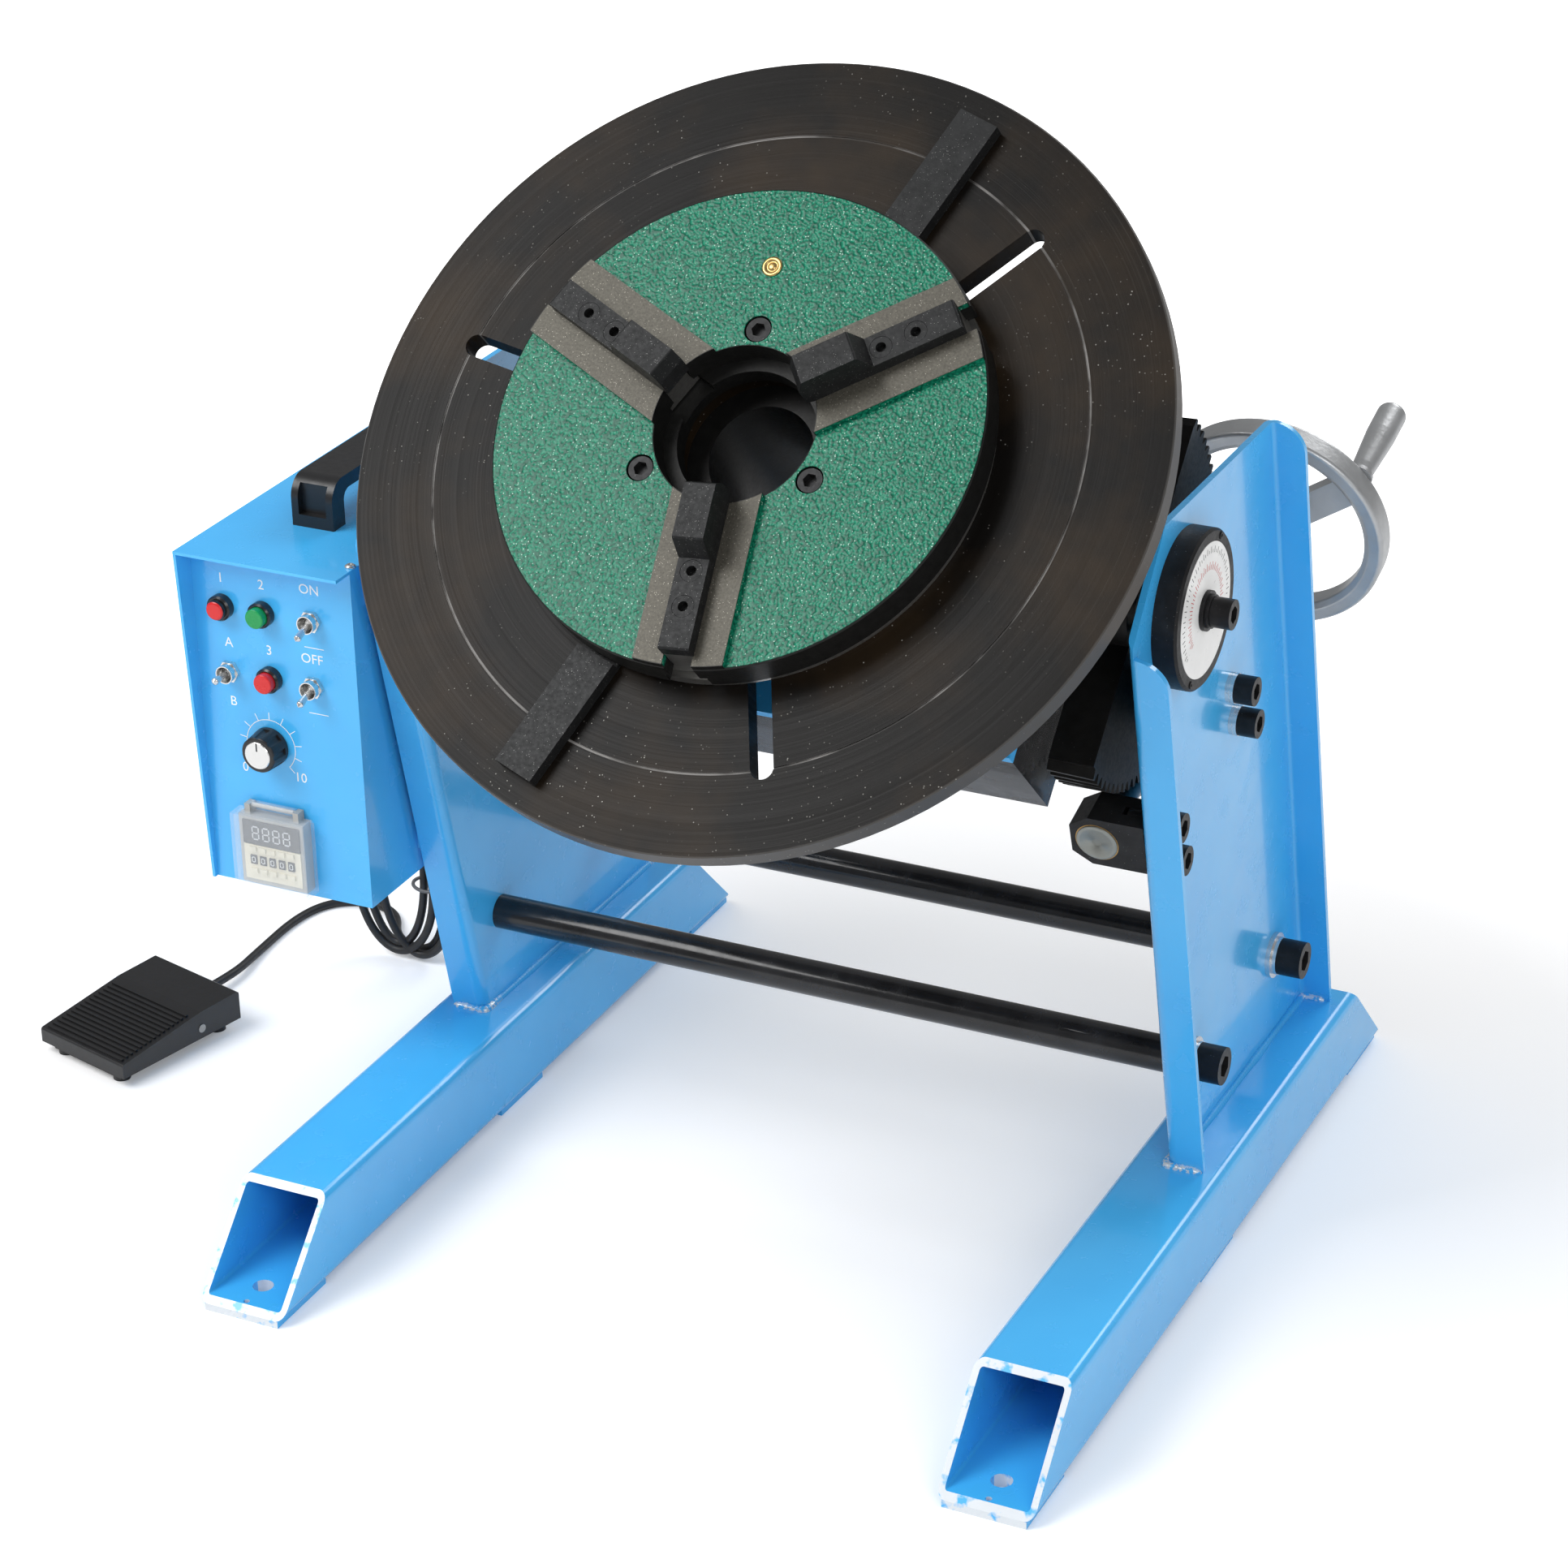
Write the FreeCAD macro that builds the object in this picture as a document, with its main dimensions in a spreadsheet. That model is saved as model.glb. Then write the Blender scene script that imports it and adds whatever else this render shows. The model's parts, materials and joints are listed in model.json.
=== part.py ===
import FreeCAD, Part
import math
import os

# Welding positioner: a tilting turntable with a three-jaw scroll chuck between two leaning side
# plates on box-section feet.  A hand worm tilts the gearbox cradle, a motor turns the table, and
# a control box with a foot pedal switches the motor.
# Frame: origin at floor level in the middle of the four floor bolts, +X to the right as the
# operator faces the table, +Y to the back, +Z up.  Lengths in millimetres, angles in degrees.

os.makedirs("parts", exist_ok=True)
doc = FreeCAD.newDocument("welding_positioner")
Vector = FreeCAD.Vector
Rotation = FreeCAD.Rotation
Placement = FreeCAD.Placement

# ---------------------------------------------------------------------------------------------
# Driving dimensions
# ---------------------------------------------------------------------------------------------
DIMENSIONS = [
    # feet
    ("foot_length", 612.0), ("foot_width", 60.0), ("foot_height", 60.0), ("foot_wall", 4.0),
    ("foot_corner", 6.0), ("foot_centre", 246.0), ("foot_slant", 60.0), ("pad_height", 5.0),
    ("pad_length", 56.0), ("pad_width", 52.0), ("floor_hole_inset", 26.0),
    ("floor_hole_radius", 6.5), ("drain_hole_radius", 2.0), ("drain_hole_setback", 7.0),
    # side plates
    ("web_inner", 240.0), ("plate_wall", 4.0), ("plate_depth", 24.0), ("plate_bend", 7.0),
    ("plate_width", 241.0), ("plate_front", -8.0), ("plate_lean", 13.0), ("plate_top", 505.0),
    ("front_flange_top", 441.0), ("web_corner_height", 447.0), ("web_corner_run", 48.0),
    ("flange_round", 20.0),
    # tie tubes and their bolts
    ("tie_radius", 11.5), ("tie_height", 126.5), ("front_tie", 19.0), ("rear_tie", 167.0),
    ("tie_thread_depth", 42.0), ("fit_gap", 0.05),
    # tilt axis, pivots and dial
    ("tilt_y", -20.0), ("tilt_z", 444.5), ("rest_tilt", 45.8), ("pivot_radius", 20.0),
    ("bush_wall", 4.0), ("flange_radius", 47.5), ("flange_depth", 15.0), ("boss_depth", 12.0),
    ("boss_radius", 28.0), ("dial_radius", 40.0), ("dial_thickness", 2.4), ("dial_recess", 2.5),
    # gearbox cradle, measured from the tilt axis
    ("case_half_width", 180.0), ("case_low", -116.0), ("case_high", 136.0),
    ("case_front", 26.0), ("case_split", -20.0), ("case_back", -56.0), ("case_wall", 8.0),
    ("cover_thickness", 8.0), ("back_thickness", 10.0), ("spindle_offset", 19.0),
    ("spindle_radius", 45.0), ("spindle_tail_radius", 40.0), ("spindle_bore", 32.5),
    ("front_bearing_radius", 70.0), ("front_bearing_width", 24.0),
    ("rear_bearing_radius", 62.5), ("rear_bearing_width", 22.0),
    ("spindle_flange_radius", 88.0), ("spindle_flange_thickness", 15.0),
    ("gear_module", 3.0), ("gear_teeth", 60.0), ("pinion_teeth", 15.0), ("gear_width", 20.0),
    ("gear_low", -6.0), ("tooth_play", 0.9),
    ("reducer_size", 90.0), ("reducer_depth", 72.0), ("motor_radius", 36.0),
    ("motor_length", 118.0),
    # tilt worm and sector
    ("sector_module", 2.5), ("sector_teeth", 88.0), ("sector_width", 28.0),
    ("sector_centre", 210.0), ("sector_edge", 9.0), ("sector_hub_radius", 34.0),
    ("worm_pitch_radius", 13.0), ("worm_slope", 17.3), ("worm_half_length", 27.0),
    ("worm_play", 0.7), ("worm_shaft_radius", 9.0), ("front_bracket_along", -66.0),
    ("rear_bracket_along", 58.0), ("bracket_half_height", 18.0), ("bracket_thickness", 24.0),
    ("bracket_inner", 16.5), ("bracket_bush_radius", 13.5), ("bracket_bolt_spread", 12.9),
    # handwheel
    ("wheel_along", 229.0), ("wheel_radius", 75.0), ("rim_height", 13.0), ("rim_width", 18.0),
    ("hub_radius", 16.0), ("hub_length", 24.0), ("spoke_width", 20.0), ("spoke_thickness", 9.0),
    ("handle_length", 66.0), ("handle_radius", 9.5), ("handle_angle", 35.0),
    # table
    ("table_radius", 250.0), ("table_thickness", 15.0), ("table_face", 94.0),
    ("table_bore", 46.0), ("slot_width", 14.0), ("slot_inner", 108.0), ("slot_outer", 206.0),
    ("slot_angle", 49.5), ("circle_radius", 200.5), ("circle_width", 1.2),
    ("circle_depth", 0.6),
    # chuck
    ("chuck_radius", 150.0), ("chuck_face", 124.5), ("chuck_back", 103.0),
    ("chuck_bore", 50.0), ("land_height", 4.0), ("land_width", 55.0), ("jaw_angle", 35.0),
    ("jaw_slot", 18.0), ("jaw_key_width", 26.0), ("jaw_key_height", 7.0), ("slide_gap", 0.3),
    ("scroll_inner", 76.0), ("scroll_rim", 3.0), ("scroll_pitch", 8.0),
    ("groove_width", 4.4), ("groove_depth", 3.4), ("lap_depth", 3.6), ("chuck_bolt_circle", 60.5),
    ("jaw_inner", 48.0), ("jaw_outer", 143.0), ("jaw_step", 83.0), ("jaw_low_height", 9.0),
    ("jaw_high_height", 24.0), ("jaw_screw_near", 95.5), ("jaw_screw_far", 117.0),
    ("bar_width", 27.0), ("bar_thickness", 8.6), ("bar_lap", 35.0), ("bar_length", 83.0),
    ("bar_angle", 70.5),
    # control box
    ("box_right", -268.0), ("box_width", 118.0), ("box_bottom", 176.0), ("box_top", 408.0),
    ("panel_y", -93.0), ("box_rear", 150.0), ("hood_overhang", 16.0), ("hood_foot_overhang", 3.0),
    ("sheet_wall", 2.0), ("button_radius", 6.8), ("button_travel", 2.5), ("knob_radius", 13.0),
    ("knob_height", 16.0), ("timer_size", 50.0), ("timer_depth", 9.0),
    ("grip_length", 130.0), ("grip_width", 20.0), ("grip_height", 44.0),
    # foot pedal
    ("pedal_x", -496.0), ("pedal_y", -39.0), ("pedal_turn", -15.0), ("pedal_half_width", 38.0),
    ("pedal_half_length", 53.0), ("pedal_base_height", 15.0), ("pedal_pin_y", 18.0),
    ("pedal_pin_z", 16.0), ("pedal_pin_radius", 3.0),
    # foot pedal cord
    ("cord_radius", 3.0), ("coil_half_width", 42.0), ("coil_height", 165.0),
    ("coil_band", 14.0), ("coil_thickness", 16.0), ("coil_x", -388.0), ("coil_y", 138.0),
]

sheet = doc.addObject("Spreadsheet::Sheet", "dims")
for row, (alias, value) in enumerate(DIMENSIONS, start=1):
    sheet.set("A%d" % row, alias)
    sheet.set("B%d" % row, repr(value))
    sheet.setAlias("B%d" % row, alias)
doc.recompute()


def size(alias):
    """The number in a named cell of the sheet."""
    return float(sheet.get(alias))


# ---------------------------------------------------------------------------------------------
# Modelling helpers
# ---------------------------------------------------------------------------------------------
SUBPARTS = {}
AXIS_TURN = {
    "X": Rotation(Vector(0, 1, 0), 90),
    "Y": Rotation(Vector(1, 0, 0), -90),
    "Z": Rotation(),
}


def bind(feature, **expressions):
    """Tie properties of a feature to expressions on the sheet."""
    for prop, expression in expressions.items():
        feature.setExpression(prop, expression)
    return feature


def box(name, length, width, height, corner):
    """Part::Box with its three sizes given as expressions and its low corner as numbers."""
    feature = bind(doc.addObject("Part::Box", name), Length=length, Width=width, Height=height)
    feature.Placement.Base = Vector(*corner)
    return feature


def cylinder(name, radius, height, base, axis="Z"):
    """Part::Cylinder that starts at base and runs along +X, +Y or +Z."""
    feature = bind(doc.addObject("Part::Cylinder", name), Radius=radius, Height=height)
    feature.Placement = Placement(Vector(*base), AXIS_TURN[axis])
    return feature


def cone(name, radius_low, radius_high, height, base, axis="Z"):
    """Part::Cone that starts at base and runs along +X, +Y or +Z."""
    feature = bind(doc.addObject("Part::Cone", name), Radius1=radius_low, Radius2=radius_high,
                   Height=height)
    feature.Placement = Placement(Vector(*base), AXIS_TURN[axis])
    return feature


def fuse(name, shapes):
    feature = doc.addObject("Part::MultiFuse", name)
    feature.Shapes = shapes
    feature.Refine = True
    return feature


def cut(name, base, tools):
    """Base less every tool."""
    feature = doc.addObject("Part::Cut", name)
    feature.Base = base
    feature.Tool = tools[0] if len(tools) == 1 else fuse(name + "_tools", tools)
    feature.Refine = True
    return feature


def group(name, shapes):
    """Separate solids that share one node."""
    feature = doc.addObject("Part::Compound", name)
    feature.Links = shapes
    return feature


def keep(node, feature, placement=None):
    """Give a finished sub-part its node name and its place."""
    feature.Label = node
    if placement is not None:
        feature.Placement = placement
    SUBPARTS[node] = feature
    return feature


def loop_edges(corners):
    """Edges of a closed outline of (x, y, radius) corners, rounded where the radius is not 0."""
    count = len(corners)
    spans = []
    for i in range(count):
        before = Vector(corners[i - 1][0], corners[i - 1][1], 0)
        here = Vector(corners[i][0], corners[i][1], 0)
        after = Vector(corners[(i + 1) % count][0], corners[(i + 1) % count][1], 0)
        radius = corners[i][2]
        if radius == 0:
            spans.append((here, here, None))
            continue
        back = (before - here).normalize()
        ahead = (after - here).normalize()
        half = back.getAngle(ahead) / 2
        reach = radius / math.tan(half)
        start = here + back * reach
        end = here + ahead * reach
        middle = here + (back + ahead).normalize() * (radius / math.sin(half))
        crown = middle + (here - middle).normalize() * radius
        spans.append((start, end, Part.Arc(start, crown, end)))
    edges = []
    for i in range(count):
        start, end, arc = spans[i]
        if arc is not None:
            edges.append(arc)
        following = spans[(i + 1) % count][0]
        if end.distanceToPoint(following) > 1e-6:
            edges.append(Part.LineSegment(end, following))
    return edges


def sketch_on(body, role, name, loops, offset=0.0):
    """Sketch on one of the body's own origin planes: outlines as corners, circles as tuples."""
    plane = [f for f in body.Origin.OriginFeatures if f.Role == role][0]
    sketch = body.newObject("Sketcher::SketchObject", name)
    sketch.AttachmentSupport = [(plane, "")]
    sketch.MapMode = "FlatFace"
    sketch.AttachmentOffset = Placement(Vector(0, 0, offset), Rotation())
    for loop in loops:
        if loop[0] == "circle":
            centre = Vector(loop[1], loop[2], 0)
            sketch.addGeometry(Part.Circle(centre, Vector(0, 0, 1), loop[3]), False)
        else:
            for edge in loop_edges(loop):
                sketch.addGeometry(edge, False)
    return sketch


def padded(name, role, loops, length, offset=0.0, midplane=False, reverse=False):
    """PartDesign body: one sketch padded by a length expression."""
    body = doc.addObject("PartDesign::Body", name)
    sketch = sketch_on(body, role, name + "_outline", loops, offset)
    pad = body.newObject("PartDesign::Pad", name + "_pad")
    pad.Profile = sketch
    pad.Midplane = midplane
    pad.Reversed = reverse
    pad.setExpression("Length", length)
    body.Tip = pad
    return body


def turned(name, profile, axis="Z"):
    """PartDesign body revolved about Z from a profile of (radius, height) corners, then laid
    along the wanted axis by its placement."""
    body = doc.addObject("PartDesign::Body", name)
    corners = [p if len(p) == 3 else (p[0], p[1], 0) for p in profile]
    sketch = sketch_on(body, "XZ_Plane", name + "_profile", [corners])
    turn = body.newObject("PartDesign::Revolution", name + "_turn")
    turn.Profile = sketch
    turn.ReferenceAxis = (sketch, ["V_Axis"])
    turn.Angle = 360.0
    body.Tip = turn
    body.Placement.Rotation = AXIS_TURN[axis]
    return body


def mirrored(name, source):
    """Mirror image in the plane X = 0."""
    feature = doc.addObject("Part::Mirroring", name)
    feature.Source = source
    feature.Normal = Vector(1, 0, 0)
    return feature


def socket_screw(name, diameter, length, base, direction, sleeve=0.0):
    """Socket head cap screw: base is under the head, direction points from the head's underside
    out through the head.  The head is 1.5 diameters wide and one diameter high."""
    head = cylinder(name + "_head", "%g * 0.75" % diameter, "%g" % diameter, (0, 0, 0))
    shank = cylinder(name + "_shank", "%g / 2" % diameter, "%g" % length, (0, 0, -length))
    key = doc.addObject("Part::Prism", name + "_key")
    key.Polygon = 6
    key.setExpression("Circumradius", "%g * 0.45" % diameter)
    key.setExpression("Height", "%g * 0.6" % diameter)
    key.Placement.Base = Vector(0, 0, diameter * 0.5)
    screw = cut(name, fuse(name + "_body", [head, shank]), [key])
    screw.Placement = Placement(Vector(*base), Rotation(Vector(0, 0, 1), Vector(*direction)))
    return screw


def ring(name, inner, outer, thickness, base, direction=(0, 0, 1)):
    """Flat ring with its low face at base."""
    outside = cylinder(name + "_outside", "%g" % outer, "%g" % thickness, (0, 0, 0))
    inside = cylinder(name + "_inside", "%g" % inner, "%g" % (thickness + 2), (0, 0, -1))
    washer = cut(name, outside, [inside])
    washer.Placement = Placement(Vector(*base), Rotation(Vector(0, 0, 1), Vector(*direction)))
    return washer


def on_circle(radius, angle):
    """Point on a circle about the origin, angle in degrees from +X."""
    return radius * math.cos(math.radians(angle)), radius * math.sin(math.radians(angle))


# Places that several sub-parts share
floor_hole_offset = size("foot_length") / 2 - size("floor_hole_inset")
floor_to_top = size("pad_height") + size("foot_height")
lean = math.radians(size("plate_lean"))
web_outer = size("web_inner") + size("plate_wall")
tilt_axis = Vector(0, size("tilt_y"), size("tilt_z"))
cradle = Placement(tilt_axis, Rotation(Vector(1, 0, 0), size("rest_tilt")))
slope = math.radians(size("worm_slope"))
worm_direction = Vector(0, math.cos(slope), math.sin(slope))
sector_pitch_radius = size("sector_module") * size("sector_teeth") / 2
worm_distance = sector_pitch_radius + size("worm_pitch_radius")
worm_down = Vector(0, math.sin(slope), -math.cos(slope))
worm_origin = tilt_axis + worm_down * worm_distance + Vector(size("sector_centre"), 0, 0)
# In the worm's own frame Z runs along the shaft to the back, X to the right and Y downwards.
worm_frame = Placement(worm_origin, Rotation(Vector(1, 0, 0), size("worm_slope") - 90))


def plate_front_at(height):
    """Y of a side plate's front edge at a height above the floor."""
    return size("plate_front") - (height - floor_to_top) * math.tan(lean)


# ---------------------------------------------------------------------------------------------
# Feet: box-section tubes, ends cut on a slant, each on three welded pads
# ---------------------------------------------------------------------------------------------
def make_foot(node, centre):
    half = size("foot_width") / 2
    wall = size("foot_wall")
    low = size("pad_height")
    high = low + size("foot_height")
    corner = size("foot_corner")
    body = doc.addObject("PartDesign::Body", node)
    outline = [[(-half, low, corner), (half, low, corner), (half, high, corner),
                (-half, high, corner)],
               [(-half + wall, low + wall, corner - wall), (half - wall, low + wall, corner - wall),
                (half - wall, high - wall, corner - wall), (-half + wall, high - wall, corner - wall)]]
    tube = body.newObject("PartDesign::Pad", node + "_tube")
    tube.Profile = sketch_on(body, "XZ_Plane", node + "_section", outline)
    tube.Midplane = True
    tube.setExpression("Length", "dims.foot_length")
    end = size("foot_length") / 2
    run = size("foot_slant")
    slants = [[(side * (end + 1), low - 1, 0), (side * (end + 1), high + 1, 0),
               (side * (end - run - 1), high + 1, 0)] for side in (-1, 1)]
    slant = body.newObject("PartDesign::Pocket", node + "_slants")
    slant.Profile = sketch_on(body, "YZ_Plane", node + "_ends", slants)
    slant.Midplane = True
    slant.Length = 2 * size("foot_width")
    holes = [("circle", 0, side * floor_hole_offset, size("floor_hole_radius"))
             for side in (-1, 1)]
    drain = -size("foot_length") / 2 + size("drain_hole_setback")
    holes.append(("circle", 0, drain, size("drain_hole_radius")))
    bore = body.newObject("PartDesign::Pocket", node + "_floor_holes")
    bore.Profile = sketch_on(body, "XY_Plane", node + "_holes", holes, low)
    bore.Reversed = True
    bore.setExpression("Length", "dims.foot_wall")
    body.Tip = bore
    keep(node, body, Placement(Vector(centre, 0, 0), Rotation()))


make_foot("foot_right", size("foot_centre"))
make_foot("foot_left", -size("foot_centre"))

pads = []
end_pad = (size("foot_length") - size("pad_length")) / 2
for side in (-1, 1):
    for number, along in enumerate((-end_pad, 0, end_pad)):
        name = "foot_pad_%s%d" % ("left" if side < 0 else "right", number)
        corner = (side * size("foot_centre") - size("pad_width") / 2,
                  along - size("pad_length") / 2, 0)
        pad = box(name, "dims.pad_width", "dims.pad_length", "dims.pad_height", corner)
        if along:
            hole_y = math.copysign(floor_hole_offset, along)
            hole = cylinder(name + "_hole", "dims.floor_hole_radius", "dims.pad_height + 2",
                            (side * size("foot_centre"), hole_y, -1))
            pad = cut(name + "_drilled", pad, [hole])
        pads.append(pad)
keep("foot_pads", group("foot_pads", pads))

# ---------------------------------------------------------------------------------------------
# Side plates: folded channels that lean forwards, flanges outwards, welded on the feet
# ---------------------------------------------------------------------------------------------
def make_side_plate():
    inner = size("web_inner")
    wall = size("plate_wall")
    outer = inner + size("plate_depth")
    front = size("plate_front")
    back = front + size("plate_width")
    bend = size("plate_bend")
    tight = bend - wall
    section = [(inner, front, bend), (inner, back, bend), (outer, back, 0),
               (outer, back - wall, 0), (inner + wall, back - wall, tight),
               (inner + wall, front + wall, tight), (outer, front + wall, 0), (outer, front, 0)]
    body = doc.addObject("PartDesign::Body", "side_plate_channel")
    pad = body.newObject("PartDesign::Pad", "side_plate_pad")
    pad.Profile = sketch_on(body, "XY_Plane", "side_plate_section", [section], floor_to_top)
    pad.UseCustomVector = True
    pad.Direction = Vector(0, -math.sin(lean), math.cos(lean))
    pad.AlongSketchNormal = True
    pad.Length = size("plate_top") - floor_to_top
    pad.setExpression("Length", "dims.plate_top - dims.pad_height - dims.foot_height")
    body.Tip = pad

    top = size("plate_top")
    corner_low = size("web_corner_height")
    corner_y = plate_front_at(corner_low)
    rounding = size("flange_round")
    # front top corner of the web, cut back so that the upright table clears it
    shoulder = padded("side_plate_shoulder", "YZ_Plane",
                      [[(corner_y - 60, corner_low, 0), (corner_y, corner_low, 0),
                        (corner_y + size("web_corner_run"), top + 1, 0),
                        (corner_y - 60, top + 1, 0)]],
                      "dims.plate_depth + 2", inner - 1)
    # front flange ends below the shoulder, both flanges have a rounded free corner
    flange_top = size("front_flange_top")
    front_end = box("side_plate_flange_end", "dims.plate_depth", "60", "100",
                    (inner + wall + 0.01, plate_front_at(top) - 20, flange_top))
    tools = [shoulder, front_end]
    for name, height, y_low, y_high in (
            ("front", flange_top, plate_front_at(flange_top) - 10, plate_front_at(flange_top) + 20),
            ("rear", top, plate_front_at(top) + size("plate_width") - 20,
             plate_front_at(top - 40) + size("plate_width") + 10)):
        block = doc.addObject("Part::Box", "side_plate_%s_corner" % name)
        bind(block, Length="dims.flange_round + 1", Height="dims.flange_round + 1")
        block.Width = y_high - y_low
        block.Placement.Base = Vector(outer - rounding, y_low, height - rounding)
        round_off = doc.addObject("Part::Cylinder", "side_plate_%s_round" % name)
        bind(round_off, Radius="dims.flange_round")
        round_off.Height = y_high - y_low + 2
        round_off.Placement = Placement(Vector(outer - rounding, y_low - 1, height - rounding),
                                        AXIS_TURN["Y"])
        tools.append(cut("side_plate_%s_nip" % name, block, [round_off]))
    span = "dims.plate_wall + 2"
    tools.append(cylinder("side_plate_pivot_hole", "dims.boss_radius + dims.fit_gap", span,
                          (inner - 1, size("tilt_y"), size("tilt_z")), "X"))
    for name in ("front_tie", "rear_tie"):
        tools.append(cylinder("side_plate_%s_hole" % name, "8.5", span,
                              (inner - 1, size(name), size("tie_height")), "X"))
    return body, tools


channel, plate_tools = make_side_plate()
bracket_bolt_points = []
for along in (size("front_bracket_along"), size("rear_bracket_along")):
    for spread in (-size("bracket_bolt_spread"), size("bracket_bolt_spread")):
        bracket_bolt_points.append(worm_origin + worm_direction * along + worm_down * spread)
bracket_holes = [cylinder("bracket_hole_%d" % number, "6.5", "dims.plate_wall + 2",
                          (size("web_inner") - 1, point.y, point.z), "X")
                 for number, point in enumerate(bracket_bolt_points)]
plain_plate = cut("side_plate_blank", channel, plate_tools)
keep("side_plate_right", cut("side_plate_drilled", plain_plate, bracket_holes))
keep("side_plate_left", mirrored("side_plate_mirror", plain_plate))

# ---------------------------------------------------------------------------------------------
# Tie bars between the plates, each held by a socket screw, a washer and a spring washer
# ---------------------------------------------------------------------------------------------
TIE_SCREW = 16.0
BRACKET_SCREW = 12.0
FLAT_WASHER = 3.0
SPRING_WASHER = 3.0
ties = []
tie_screws = []
washers = []
for name in ("front_tie", "rear_tie"):
    bar = cylinder(name, "dims.tie_radius", "2 * dims.web_inner",
                   (-size("web_inner"), size(name), size("tie_height")), "X")
    bores = []
    for side in (-1, 1):
        direction = (side, 0, 0)
        tag = "%s_%s" % (name, "left" if side < 0 else "right")
        depth = size("tie_thread_depth")
        start = size("web_inner") - depth if side > 0 else -size("web_inner") - 1
        bores.append(cylinder(tag + "_bore", "%g / 2 + dims.fit_gap" % TIE_SCREW,
                              "dims.tie_thread_depth + 1",
                              (start, size(name), size("tie_height")), "X"))
        y_z = (size(name), size("tie_height"))
        under_head = web_outer + FLAT_WASHER + SPRING_WASHER
        tie_screws.append(socket_screw(tag + "_screw", TIE_SCREW, 40.0,
                                       (side * under_head,) + y_z, direction))
        washers.append(ring(tag + "_washer", 8.5, 15.0, FLAT_WASHER,
                            (side * web_outer,) + y_z, direction))
        washers.append(ring(tag + "_spring", 8.3, 12.3, SPRING_WASHER,
                            (side * (web_outer + FLAT_WASHER),) + y_z, direction))
    ties.append(cut(name + "_bar", bar, bores))
keep("tie_bars", group("tie_bars", ties))
keep("tie_screws", group("tie_screws", tie_screws))

# ---------------------------------------------------------------------------------------------
# Worm brackets inside the right plate, with their screws and bushes
# ---------------------------------------------------------------------------------------------
bushes = []
bracket_screws = []
bracket_reach = size("web_inner") - size("sector_centre")
for place in ("front", "rear"):
    along = size(place + "_bracket_along")
    half = size("bracket_half_height")
    inner = -size("bracket_inner")
    low = along - size("bracket_thickness") / 2
    block = padded("worm_bracket_%s_block" % place, "XY_Plane",
                   [[(inner, -half + 8, 0), (inner + 12, -half, 0), (bracket_reach, -half, 0),
                     (bracket_reach, half, 0), (inner + 12, half, 0), (inner, half - 8, 0)]],
                   "dims.bracket_thickness", low)
    seat = cylinder("worm_bracket_%s_seat" % place, "dims.bracket_bush_radius",
                    "dims.bracket_thickness + 2", (0, 0, low - 1))
    screw_bores = [cylinder("worm_bracket_%s_thread_%d" % (place, side),
                            "%g / 2 + dims.fit_gap" % BRACKET_SCREW, "20",
                            (bracket_reach - 16, side * size("bracket_bolt_spread"), along), "X")
                   for side in (-1, 1)]
    keep("worm_bracket_" + place,
         cut("worm_bracket_%s_body" % place, block, [seat] + screw_bores), worm_frame)
    bush = ring("worm_bush_" + place, size("worm_shaft_radius") + size("fit_gap"),
                size("bracket_bush_radius") - size("fit_gap"), size("bracket_thickness"),
                (0, 0, low))
    bush.Placement = worm_frame.multiply(bush.Placement)
    bushes.append(bush)
for number, point in enumerate(bracket_bolt_points):
    y_z = (point.y, point.z)
    washers.append(ring("bracket_washer_%d" % number, 6.5, 9.4, FLAT_WASHER - 0.5,
                        (web_outer,) + y_z, (1, 0, 0)))
    washers.append(ring("bracket_spring_%d" % number, 6.3, 9.3, SPRING_WASHER - 0.5,
                        (web_outer + FLAT_WASHER - 0.5,) + y_z, (1, 0, 0)))
    under_head = web_outer + FLAT_WASHER + SPRING_WASHER - 1
    bracket_screws.append(socket_screw("bracket_screw_%d" % number, BRACKET_SCREW, 22.0,
                                       (under_head,) + y_z, (1, 0, 0)))
keep("bracket_screws", group("bracket_screws", bracket_screws))
keep("frame_washers", group("frame_washers", washers))

# ---------------------------------------------------------------------------------------------
# Pivots: a flange with a bronze bush on each plate; the right one frames the angle dial
# ---------------------------------------------------------------------------------------------
def pivot_flange_profile():
    bush_outer = size("pivot_radius") + size("bush_wall")
    foot = -size("boss_depth")
    face = size("flange_depth")
    edge = size("flange_radius")
    recess = size("dial_recess")
    ring_inner = size("dial_radius") + 0.4
    boss = size("boss_radius")
    return [(bush_outer, foot), (boss, foot), (boss, 0), (edge, 0), (edge, face - 1.5),
            (edge - 1.5, face), (ring_inner, face), (ring_inner, face - recess),
            (bush_outer, face - recess)]


right_flange = turned("pivot_flange_right", pivot_flange_profile(), "X")
right_flange.Placement = Placement(tilt_axis + Vector(web_outer, 0, 0), AXIS_TURN["X"])
left_flange = mirrored("pivot_flange_left", right_flange)
keep("pivot_flanges", group("pivot_flanges", [right_flange, left_flange]))
bush_length = size("boss_depth") + size("flange_depth") - size("dial_recess")
for side, start in ((1, web_outer - size("boss_depth")),
                    (-1, -web_outer - size("flange_depth") + size("dial_recess"))):
    bushes.append(ring("pivot_bush_%s" % ("left" if side < 0 else "right"),
                       size("pivot_radius") + size("fit_gap"),
                       size("pivot_radius") + size("bush_wall"), bush_length,
                       (start, size("tilt_y"), size("tilt_z")), (1, 0, 0)))
keep("bronze_bushes", group("bronze_bushes", bushes))

# ---------------------------------------------------------------------------------------------
# Gearbox cradle: a welded case on two pivot shafts.  It is modelled level, about the tilt axis,
# with Z along the spindle, and then tilted.
# ---------------------------------------------------------------------------------------------
half_case = size("case_half_width")
case_depth = size("case_high") - size("case_low")
case_corner = (-half_case, size("case_low"))
offset = size("spindle_offset")


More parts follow.
